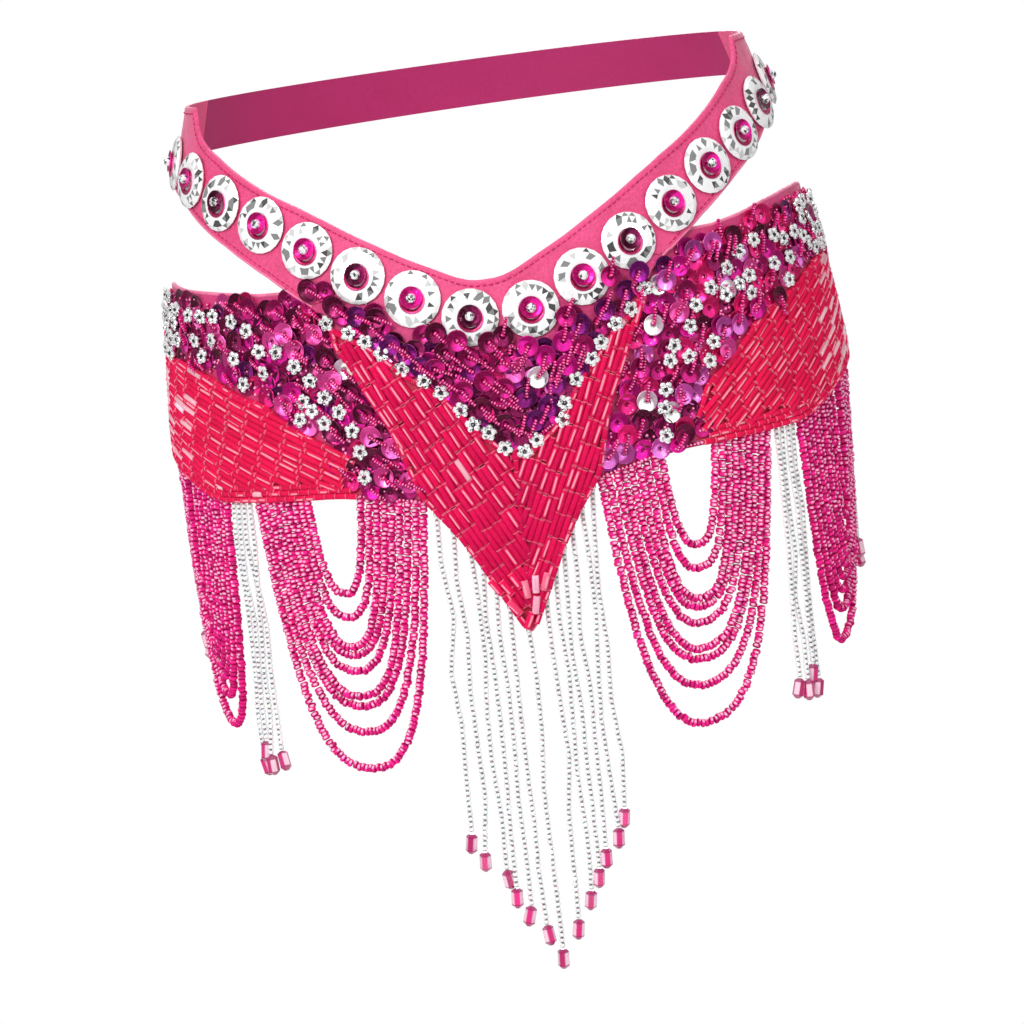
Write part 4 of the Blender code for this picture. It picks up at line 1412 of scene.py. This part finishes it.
def in_triangle(x, z):
    """Between the chevron and the coins, and over the band as far as its piping."""
    a = angle_of(x, z)
    m = np.abs(a)
    low = np.where(m < 28, chevron_top(a) + 2.2, edge(BAND_LOW, m) + 4.0)
    return (z > low) & (z < coin_low(a) + 5.0) & (m < 33)


def in_sequined_hip(side, x, z):
    """On a hip panel above its leaf, clear of the band, the centre panel and the piping."""
    a = angle_of(x, z)
    m = np.abs(a)
    leaf = leaf_top(side, m)
    leaf = np.where(m < LEAF_TOP[side][0][0] + 3.5, FAR_BELOW, leaf)
    clear = np.where(m < 31.5, edge(PANEL_LOW, m) - 3.5, 1e3)
    clear = np.minimum(clear, np.where(m < 44, edge(BAND_LOW, m) - 3.0, 1e3))
    return ((x * side > 0) & (m > 14.5) & (m < 102.5) & (z > leaf + 2.5) & (z < clear)
            & (z < hip_high(a) - 3.0) & (z > edge(HIP_LOW, m) + 1.5))


def leaf_top(side, m):
    """Upper border of a hip's leaf at each angle from the front, far below where it's absent."""
    table = LEAF_TOP[side]
    return np.where(m < table[0][0], FAR_BELOW, edge(table, m))


def blossom_material():
    """The rhinestone flowers' cut stone, darkest in the middle."""
    return facet_material("rhinestone", ((0.0, 1.0), (0.70, 0.80), (0.84, 0.14), (0.93, 0.02)),
                          metallic=0.5, roughness=0.08, heart=0.20)


class HIPBELT_OT_hip_panels(bpy.types.Operator):
    """Make the two hip panels with their sequins, stones and leaves of bugles"""
    bl_idname = "hipbelt.hip_panels"
    bl_label = "Hip Panels"

    def execute(self, context):
        look, beads = context.scene.hip_belt_cloth, context.scene.hip_belt_beads
        ground = panel_ground(look)
        piping = pink_piping()
        off = UNDER + WALL

        def low(a):
            return edge(HIP_LOW, a)

        for side, word, column in ((-1, "right", 1), (1, "left", 2)):
            rng = np.random.default_rng(40 + column)
            ends = sorted((side * HIP_TOP[0][0], side * HIP_END))
            angles = steps(ends[0], ends[1], [side * r[0] for r in HIP_TOP + HIP_LOW], 1.3)
            panel = cloth("hip_cloth_" + word, angles, low, hip_high, UNDER,
                          np.linspace(0, 1, 27), [ground],
                          [(side * row[0], *row[1:5], side * row[5]) for row in PANEL_CREASES],
                          zone=lambda a, z: np.clip((leaf_top(side, np.abs(a)) - z) / 2 + 0.5,
                                                    0, 1))
            place(panel, ["hip_panel_" + word])
            # leaf of bugles: rows parallel to its upper edge
            pitch = (beads.bugle_length + 0.0001) * 1000
            step = beads.bugle_diameter * 925
            xs, zs, slopes, lit = [], [], [], []
            sweep = np.linspace(16.0, 103.0, 500)
            for row in range(-16, 38):
                curve = leaf_line(sweep, 0.76 if side < 0 else 1.2)
                x = flat_x(sweep, curve)
                slope = np.arctan2(np.gradient(curve), np.gradient(x))
                z = curve - row * step / np.cos(slope)
                x = flat_x(sweep, z)
                run = np.concatenate(([0.0], np.cumsum(np.hypot(np.diff(x), np.diff(z)))))
                start = pitch * (0.3 * ((row // 3) % 3) + 0.05 * rng.normal())
                at = np.arange(start + pitch / 2, run[-1], pitch)
                # every other row turns its painted highlight line outwards more often
                lit.append(np.full(len(at), 0.18 if row % 2 else 0.7))
                xs.append(np.interp(at, run, x))
                zs.append(np.interp(at, run, z))
                slopes.append(np.degrees(np.interp(
                    at, run, np.arctan2(np.gradient(z), np.gradient(x)))))
            x, z, slope, lit = (np.concatenate(v) for v in (xs, zs, slopes, lit))
            keep = np.ones(len(x), bool)
            for share in (-0.8, 0.0, 0.8):
                px = x + share * pitch / 2 * np.cos(np.radians(slope))
                pz = z + share * pitch / 2 * np.sin(np.radians(slope))
                a = angle_of(px, pz)
                keep &= (pz < leaf_top(side, a) + 0.2) & (pz > edge(HIP_LOW, a) + 1.6)
                keep &= a < 103.3
            x, z, slope, lit = x[keep] * side, z[keep], slope[keep] * side, lit[keep]
            pale = np.interp(np.abs(angle_of(x, z)), (60, 72, 88), (0.012, 0.2, 0.55))
            tubes = lay_bugles("hip_bugles_" + word, x, z, slope, off, tuple(beads.leaf_colour),
                               beads, rng, pale=pale, lit=lit)
            # short tubes along the edges, the lowest over the tape of the fringe
            first = LEAF_TOP[side][0][0]
            xs, zs, slopes = [], [], []
            for inset, start in ((-1.4, 1.0), (1.6, 2.0), (4.6, 3.5), (None, 0.5)):
                a = np.linspace(first + start, 97.3, 500)
                z = leaf_top(side, a) - 1.3 if inset is None else edge(HIP_LOW, a) + inset
                z = np.minimum(z, leaf_top(side, a) - 1.0)
                a, z = evenly(a, z, off, 0.0059)
                xs.append(flat_x(a, z) * side)
                zs.append(z)
                slopes.append(run_slope(a, z) * side)
            border = lay_bugles("hip_edge_bugles_" + word, np.concatenate(xs), np.concatenate(zs),
                                np.concatenate(slopes), off - 0.0004, tuple(beads.leaf_colour),
                                beads, rng, length=0.0057, lit=0.3)

            def sequined(x_mm, z_mm):
                return in_sequined_hip(side, x_mm, z_mm)

            spots = scattered(sequined, (-300, 300), (-180, -55), 8.4 if side < 0 else 9.3, 1.6,
                              rng)
            marked = [(side * row[0], *row[1:]) for row in HIP_SEQUINS[side]]
            cups, seeds = sequins_and_lines("hip_" + word, spots, marked, 3 + column, off, beads,
                                            rng)
            # tiny beads fill the ground, closest at the outer end
            spots = scattered(sequined, (-300, 300), (-180, -55), 2.9, 1.0, rng)
            a, z = angle_of(spots[:, 0], spots[:, 1]), spots[:, 1]
            keep = rng.random(len(a)) < np.interp(np.abs(a), (30, 70, 90), (0.35, 0.6, 1.0))
            row = np.linspace(14.8, LEAF_TOP[side][0][0] + 1.0, 90)
            row, low_row = evenly(row, edge(HIP_LOW, row) - 1.3, off, 0.0021)
            a = np.concatenate((a[keep], row * side))
            z = np.concatenate((z[keep], low_row))
            spots, axes = pointing(a, z, rng.uniform(-60, 60, len(a)), off + 0.0007)
            pick = np.array(((0.78, 0.02, 0.20), (0.55, 0.006, 0.13), (0.95, 0.20, 0.48)))
            fill = tile("hip_seeds_" + word, small_seed_shape(0.0020, 0.0018), spots, axes,
                        pick[rng.integers(0, 3, len(a))], seed_glass())
            place(fill)
            # rhinestone flowers: the ones in view, and more towards the outer end
            flowers = scattered(sequined, (-300, 300), (-178, -60), 8.6, 1.8, rng)
            a, z = angle_of(flowers[:, 0], flowers[:, 1]), flowers[:, 1]
            keep = (np.abs(a) > 69) & (rng.random(len(a)) < 0.72)
            placed = np.array(HIP_STONES[side], float)
            a = np.concatenate((a[keep], side * placed[:, 0]))
            z = np.concatenate((z[keep], placed[:, 1]))
            n = len(a)
            spots, axes = facing(a, z, off + 0.0034, rng.uniform(0, 72, n),
                                 rng.uniform(0, 20, n), rng.uniform(0, 360, n))
            stones = tile("hip_stones_" + word, blossom_shape(0.0042), spots, axes, (1, 1, 1),
                          blossom_material(), seed=7 + column)
            place(stones)
            top_a = side * np.linspace(27, 103.5, 220)
            trim = piping_cord("hip_piping_" + word, top_a, hip_high(top_a) - 0.2,
                               UNDER + 0.0011, 0.0011, piping)
            place(trim)
            area_of(angles, low, hip_high)
        return {"FINISHED"}


def leaf_line(angle, steep):
    """Smooth line that the rows of the leaf follow."""
    t = np.clip((92.0 - angle) / 64.0, -0.3, 1.3)
    return -97.0 - 73.0 * steep * np.sign(t) * np.abs(t) ** 1.8


class HIPBELT_OT_coins(bpy.types.Operator):
    """Make the row of cut coin stones with their cups and crystals"""
    bl_idname = "hipbelt.coins"
    bl_label = "Coins"

    def execute(self, context):
        spots, across, out, order = coin_places()
        up = np.cross(out, across)
        rng = np.random.default_rng(9)
        spin = rng.uniform(0, 360, len(spots))
        axes = rolled((across, up, out), spin)
        cut = facet_material("cut coin stone", ((0.0, 1.0), (0.60, 0.66), (0.72, 0.24),
                                                (0.82, 0.06)), metallic=0.1, roughness=0.05)
        base = spots + out * GAP
        stones = tile("coin_stones", stone_shape(), base, axes, (1, 1, 1), cut, seed=2)
        star_cut(stones, len(spots))
        place(stones, ["coin_%02d" % (k + 1) for k in range(len(spots))])
        # cups and rims are not turned, so their painted lit side lies towards +X on every coin
        level = (across, up, out)
        rims = tile("coin_rims", rim_shape(), base + out * 0.0026 - up * 0.0009, level,
                    varied((0.60, 0.035, 0.16), len(spots), rng), foil_material(), seed=3)
        place(rims)
        cups = tile("coin_cups", cup_shape(), base + out * 0.0031 + up * 0.0007, level,
                    np.array(CUP_COLOURS)[order], foil_material(), seed=4)
        place(cups)
        crystal = facet_material("cut crystal", ((0.0, 1.0), (0.52, 0.55), (0.70, 0.16),
                                                 (0.88, 0.03)), metallic=0.3)
        crystals = tile("coin_crystals", crystal_shape(0.0026), base + out * 0.0048 + up * 0.0004,
                        level, (1, 1, 1), crystal, seed=6)
        place(crystals)
        return {"FINISHED"}


def star_cut(obj, count):
    """Tones of a coin stone's faces, as painted reflections: nine groups of dark cuts about a clear
    table.
    """
    mesh = obj.data
    corners = np.zeros(len(mesh.polygons), int)
    mesh.polygons.foreach_get("loop_total", corners)
    starts = np.zeros(len(mesh.polygons), int)
    mesh.polygons.foreach_get("loop_start", starts)
    index = np.zeros(len(mesh.loops), int)
    mesh.loops.foreach_get("vertex_index", index)
    local = np.zeros(len(mesh.vertices) * 3, np.float32)
    mesh.attributes["local"].data.foreach_get("vector", local)
    local = local.reshape(-1, 3)
    middle = sum(local[index[starts + k]] for k in range(3)) / 3
    reach = np.hypot(middle[:, 0], middle[:, 1])
    each = len(mesh.polygons) // count
    coin = np.arange(len(mesh.polygons)) // each
    rng = np.random.default_rng(8)
    strength = rng.uniform(0.35, 1.0, (count, 9))
    turn = np.degrees(np.arctan2(middle[:, 1], middle[:, 0])) % 360.0 / 40.0
    group = turn.astype(int) % 9
    off_centre = np.abs(turn % 1.0 - 0.5)
    noise = rng.random(len(reach))
    # painted reflections: dark triangles in nine groups round the crown, the rest light
    band = (reach > 0.60) & (reach < 0.93) & (corners == 3)
    dark = np.where((off_centre < 0.36) & (noise > 0.52),
                    0.60 + 0.38 * strength[coin, group] * noise, 0.62 * noise)
    values = np.where(band, dark, np.where(corners == 3, 0.70 * noise, 0.25 * noise))
    mesh.attributes["facet"].data.foreach_set("value", values.astype(np.float32))


def coin_places():
    """Centres, directions and cup colours of the coins, evenly pitched along their line."""
    marks = np.array([(angle_at(np.float64(d)), z) for d, z in COIN_LINE])
    places, order = [], []
    for side in (-1, 1):
        angle = np.arange(0, 1000) * 0.1
        z = np.interp(angle, marks[:, 0], marks[:, 1])
        p = hip_points(side * angle + COIN_TURN, z, OVER + WALL)
        last, need, found = p[0], COIN_PITCH / 2, 0
        for k in range(1, 1000):
            if np.linalg.norm(p[k] - last) >= need:
                places.append((side * angle[k] + COIN_TURN, z[k]))
                last, need, found = p[k], COIN_PITCH, found + 1
                order.append(CUP_ORDER[0 if side < 0 else 1][found - 1])
                if found == COINS_A_SIDE:
                    break
    angle, z = np.array(places).T
    across = unit(hip_points(angle + 1, z, OVER) - hip_points(angle - 1, z, OVER))
    up = hip_points(angle, z + 2, OVER) - hip_points(angle, z - 2, OVER)
    return hip_points(angle, z, OVER + WALL), across, unit(np.cross(across, up)), order


def hanging_loop(half, depth, count=72):
    """A hanging chain: points -1..1 along the chord and 0..1 of the depth."""
    low, high = half / 20.0, half * 20.0
    for _ in range(60):
        c = math.sqrt(low * high)
        if c * (math.cosh(min(half / c, 50.0)) - 1) > depth:
            low = c
        else:
            high = c
    end = math.atan(math.sinh(half / c))
    x = c * np.arcsinh(np.tan(end * np.linspace(-1, 1, count)))
    along = np.sign(x) * (np.abs(x) / half) ** LOOP_FULLNESS
    return along, 1 - (np.cosh(x / c) - 1) / (math.cosh(half / c) - 1)


def tape(name, angles, low, high, off, thick, material):
    """The narrow tape that carries a fringe, behind the panel's edge."""
    bm = bmesh.new()
    columns = len(angles) - 1
    bmesh.ops.create_grid(bm, x_segments=columns, y_segments=2, size=0.5)
    skin = bmesh.ops.extrude_face_region(bm, geom=list(bm.faces))
    inner = [v for v in skin["geom"] if isinstance(v, bmesh.types.BMVert)]
    bmesh.ops.translate(bm, verts=inner, vec=(0, 0, -1))
    co = np.array([v.co for v in bm.verts])
    angle = np.interp(co[:, 0] + 0.5, np.linspace(0, 1, columns + 1), angles)
    z_mm = low(angle) + (high(angle) - low(angle)) * (co[:, 1] + 0.5)
    points = hip_points(angle, z_mm, np.where(co[:, 2] > -0.5, off + thick, off))
    uv_layer = bm.loops.layers.uv.new("cloth")
    x = flat_x(angle, z_mm)
    bm.verts.index_update()
    for v, p in zip(bm.verts, points):
        v.co = p
    for face in bm.faces:
        for loop in face.loops:
            k = loop.vert.index
            loop[uv_layer].uv = (x[k] / 1000.0, z_mm[k] / 1000.0)
    bmesh.ops.recalc_face_normals(bm, faces=bm.faces)
    return mesh_object(bm, name, [material])


class HIPBELT_OT_fringe(bpy.types.Operator):
    """Make the beaded loops, the straight strands and their end beads"""
    bl_idname = "hipbelt.fringe"
    bl_label = "Fringe"

    def execute(self, context):
        beads = context.scene.hip_belt_beads
        pink_tape = cloth_material("fringe tape", (0.60, 0.012, 0.09), mottling=0.5)
        seed = seed_shape(beads.seed_diameter, beads.seed_length * 1.02)
        clear_pitch = 0.0027
        clear = seed_shape(beads.clear_diameter, clear_pitch * 0.97, sides=7)
        strands, drops = [], []
        loops = (("front_loops_", FRONT_LOOPS, FRONT_DEPTHS, 0.8, 0.6),
                 ("side_loops_", SIDE_LOOPS, SIDE_DEPTHS, 0.6, 0.6))
        for side, word in ((-1, "right"), (1, "left")):
            rng = np.random.default_rng(60 + side)
            for stem, ((inner, outer), (step_in, step_out)), depths, before, after in loops:
                spots, alongs = [], []
                roots_in = [angle_at(np.float64(inner - step_in * k)) for k in range(9)]
                roots_out = [angle_at(np.float64(outer + step_out * k)) for k in range(9)]
                for k, depth in enumerate(depths):
                    a = root_point(side * roots_in[k], LOOP_STRAND)
                    b = root_point(side * roots_out[k], LOOP_STRAND)
                    span = math.hypot(b[0] - a[0], b[1] - a[1])
                    along, drop = hanging_loop(span / 2, depth / 1000.0)
                    share = (along + 1) / 2
                    path = a + (b - a) * share[:, None]
                    path[:, 2] -= depth / 1000.0 * drop
                    rise = [outwards(p) * (0.0013, 0.0013, 0) + (0, 0, STRIP_HEIGHT / 1000.0)
                            for p in (a, b)]
                    path = np.concatenate(([a + rise[0]], path, [b + rise[1]]))
                    out = unit(np.cross(b - a, (0, 0, side)))
                    wave = np.interp(np.linspace(0, 1, len(path)), np.linspace(0, 1, 9),
                                     rng.normal(0, 0.0004, 9))
                    path += out * wave[:, None]
                    where, direction = strung(path, beads.seed_length, rng.uniform(0.3, 0.7))
                    spots.append(where + rng.normal(0, 0.00024, where.shape))
                    alongs.append(direction)
                spots, alongs = np.concatenate(spots), np.concatenate(alongs)
                made = tile(stem + word + "_beads", seed, spots,
                            thread_axes(alongs, outwards(spots), rng, 0.10, 18),
                            varied(tuple(beads.seed_colour), len(spots), rng, 0.2), seed_glass())
                place(made, [stem + word])
                first, last = min(roots_in) - before, max(roots_out) + after
                band = hip_tape(stem + word + "_tape", side, first, last, LOOP_STRAND, pink_tape)
                place(band)
            for stem, angles, lengths in (("side_strands_", SIDE_ANGLES, SIDE_LENGTHS),
                                          ("rear_strands_", REAR_ANGLES, REAR_LENGTHS)):
                paths = []
                for a, length in zip(angles, lengths):
                    top = root_point(side * a, STRAND)
                    paths.append(straight(top, length, rng))
                    drops.append(paths[-1][-1])
                strands.append((stem + word, paths))
                band = hip_tape(stem + word + "_tape", side, angles[0] - 0.5, angles[-1] + 0.5,
                                STRAND, pink_tape)
                place(band)
        rng = np.random.default_rng(77)
        paths = []
        for a in CENTRE_ANGLES:
            top = hip_points(a, edge(PANEL_LOW, a) + 1.0, UNDER + STRAND / 2)
            paths.append(straight(top, CENTRE_LENGTH, rng))
            drops.append(paths[-1][-1])
        strands.append(("centre_fringe", paths))
        band = tape("centre_fringe_tape", np.linspace(-13.7, 13.7, 41),
                    lambda a: edge(PANEL_LOW, a) + 1.0,
                    lambda a: edge(PANEL_LOW, a) + 1.0 + CENTRE_STRIP_HEIGHT, UNDER, STRAND,
                    pink_tape)
        place(band)
        for stem, paths in strands:
            strung_paths = [strung(p, clear_pitch, 0.5) for p in paths]
            spots = np.concatenate([s[0] for s in strung_paths])
            along = np.concatenate([s[1] for s in strung_paths])
            made = tile(stem + "_beads", clear, spots,
                        thread_axes(along, outwards(spots), rng),
                        varied(tuple(beads.clear_colour), len(spots), rng, 0.08), clear_glass())
            place(made, [stem])
        drops = np.array(drops)
        n = len(drops)
        spin = (np.arctan2(drops[:, 1] / HALF_DEPTH ** 2, drops[:, 0] / HALF_WIDTH ** 2)
                - 0.52 + rng.normal(0, 0.25, n))
        lean = rng.normal(0, 0.2, (n, 3)) * (1, 0.6, 0)
        z = unit(np.array((0, 0, 1.0)) + lean)
        x = np.stack((np.cos(spin), np.sin(spin), 0 * spin), axis=1)
        y = unit(np.cross(z, x))
        ends = tile("end_drops", drop_shape(), drops, (np.cross(y, z), y, z),
                    varied(DROP_PINK, n, rng, 0.2), drop_glass(), seed=12)
        place(ends)
        return {"FINISHED"}


def hip_tape(name, side, first, last, thick, material):
    """A tape under the lower edge of a hip panel."""
    ends = sorted((side * first, side * last))
    return tape(name, steps(ends[0], ends[1], (), 1.5),
                lambda a: edge(HIP_LOW, a) - GAP * 1000 - STRIP_HEIGHT,
                lambda a: edge(HIP_LOW, a) - GAP * 1000, UNDER + WALL - thick - 0.0001, thick,
                material)


def root_point(angle, width):
    """Middle of a strand's root under the lower edge of a hip panel."""
    z = edge(HIP_LOW, angle) - GAP * 1000 - STRIP_HEIGHT
    return hip_points(angle, z, UNDER + WALL - width / 2 - 0.0001)


def straight(top, length, rng):
    """A strand that hangs down with a few slight kinks."""
    share = np.linspace(-0.015, 1, 60)
    knots = np.linspace(0, 1, 7)
    kinks = [np.interp(share, knots, rng.normal(0, reach, 7) * (knots > 0))
             for reach in (0.0011, 0.0006)]
    return top + np.stack((kinks[0], kinks[1], -length * share), 1)


class HIPBELT_OT_stage(bpy.types.Operator):
    """Make the pale floor, the soft lights and the camera"""
    bl_idname = "hipbelt.stage"
    bl_label = "Stage"

    def execute(self, context):
        scene, light = context.scene, context.scene.hip_belt_stage
        bm = bmesh.new()
        bmesh.ops.create_circle(bm, cap_ends=True, radius=1.6, segments=96)
        bmesh.ops.translate(bm, verts=bm.verts, vec=(0, 0, -0.95))
        made, tree, shader = new_material("pale floor")
        coordinates = node(tree, "TexCoord")
        grain = node(tree, "TexNoise", {"Vector": coordinates.outputs["Object"], "Scale": 3.0,
                                        "Detail": 4.0})
        tree.links.new(mixed(tree, grain.outputs["Fac"], (0.92, 0.92, 0.92, 1),
                             (0.96, 0.96, 0.96, 1)), shader.inputs["Base Color"])
        settings(shader, Roughness=0.8)
        floor = mesh_object(bm, "floor", [made])
        scene.collection.objects.link(floor)
        world = bpy.data.worlds.new("white surround")
        world.use_nodes = True
        tree = world.node_tree
        back = tree.nodes["Background"]
        back.inputs["Color"].default_value = (1.0, 1.0, 1.0, 1)
        height = node(tree, "SeparateXYZ", {"Vector": node(tree, "TexCoord").outputs["Generated"]})
        glow = ranged(tree, height.outputs["Z"], -0.5, 0.7, light.surround * 0.55,
                      light.surround * 1.35)
        seen = node(tree, "LightPath").outputs["Is Camera Ray"]
        tree.links.new(node(tree, "Math", {0: glow, 1: seen}, operation="MAXIMUM").outputs[0],
                       back.inputs["Strength"])
        scene.world = world
        for name, at, size, power in (
                ("key", (-0.9, -2.2, 1.3), 1.0, light.key_power),
                ("spark left", (-1.5, -1.8, 0.45), 0.3, light.spark_power),
                ("spark right", (1.5, -1.8, 0.5), 0.3, light.spark_power),
                ("spark top", (0.2, -1.3, 1.8), 0.2, light.spark_power * 0.8),
                ("back", (0.4, 2.3, 0.9), 1.0, light.key_power * 0.6)):
            lamp = bpy.data.lights.new(name, "AREA")
            lamp.size, lamp.energy = size, power
            obj = bpy.data.objects.new(name, lamp)
            obj.location = at
            aim = Vector((0, 0, -0.15)) - Vector(at)
            obj.rotation_euler = aim.to_track_quat("-Z", "Y").to_euler()
            scene.collection.objects.link(obj)
        rise, roll, reach = math.radians(8.0), math.radians(6.3), 2.5
        aim = Vector((-0.0005, 0, -0.21))
        forward = Vector((0, math.cos(rise), -math.sin(rise)))
        right = Vector((1, 0, 0))
        up = right.cross(forward)
        right, up = (right * math.cos(roll) - up * math.sin(roll),
                     right * math.sin(roll) + up * math.cos(roll))
        turn = Matrix((right, up, -forward)).transposed().to_4x4()
        turn.translation = aim - forward * reach
        lens = bpy.data.cameras.new("camera")
        lens.lens, lens.sensor_width = 165.8, 36.0
        camera = bpy.data.objects.new("camera", lens)
        camera.matrix_world = turn
        scene.collection.objects.link(camera)
        scene.camera = camera
        scene.view_settings.view_transform = "Standard"
        return {"FINISHED"}


class HIPBELT_PT_panel(bpy.types.Panel):
    """Sidebar list of the belt's pieces"""
    bl_idname = "HIPBELT_PT_panel"
    bl_label = "Hip Belt"
    bl_space_type = "VIEW_3D"
    bl_region_type = "UI"
    bl_category = "Hip Belt"

    def draw(self, context):
        for word in ("cloth", "beads", "stage"):
            box = self.layout.box()
            box.label(text=word.capitalize())
            values = getattr(context.scene, "hip_belt_" + word)
            for key in values.__annotations__:
                box.prop(values, key)
        for operator in OPERATORS:
            self.layout.operator(operator.bl_idname)


OPERATORS = (HIPBELT_OT_band, HIPBELT_OT_straps, HIPBELT_OT_centre_panel, HIPBELT_OT_hip_panels,
             HIPBELT_OT_coins, HIPBELT_OT_fringe, HIPBELT_OT_stage)
CLASSES = (HipBeltCloth, HipBeltBeads, HipBeltStage, *OPERATORS, HIPBELT_PT_panel)


def register():
    for cls in CLASSES:
        bpy.utils.register_class(cls)
    bpy.types.Scene.hip_belt_cloth = bpy.props.PointerProperty(type=HipBeltCloth)
    bpy.types.Scene.hip_belt_beads = bpy.props.PointerProperty(type=HipBeltBeads)
    bpy.types.Scene.hip_belt_stage = bpy.props.PointerProperty(type=HipBeltStage)


def unregister():
    del bpy.types.Scene.hip_belt_cloth
    del bpy.types.Scene.hip_belt_beads
    del bpy.types.Scene.hip_belt_stage
    for cls in reversed(CLASSES):
        bpy.utils.unregister_class(cls)


def main():
    register()
    bpy.ops.hipbelt.hip_panels()
    bpy.ops.hipbelt.centre_panel()
    bpy.ops.hipbelt.straps()
    bpy.ops.hipbelt.band()
    bpy.ops.hipbelt.coins()
    bpy.ops.hipbelt.fringe()
    bpy.ops.hipbelt.stage()


if __name__ == "__main__":
    main()
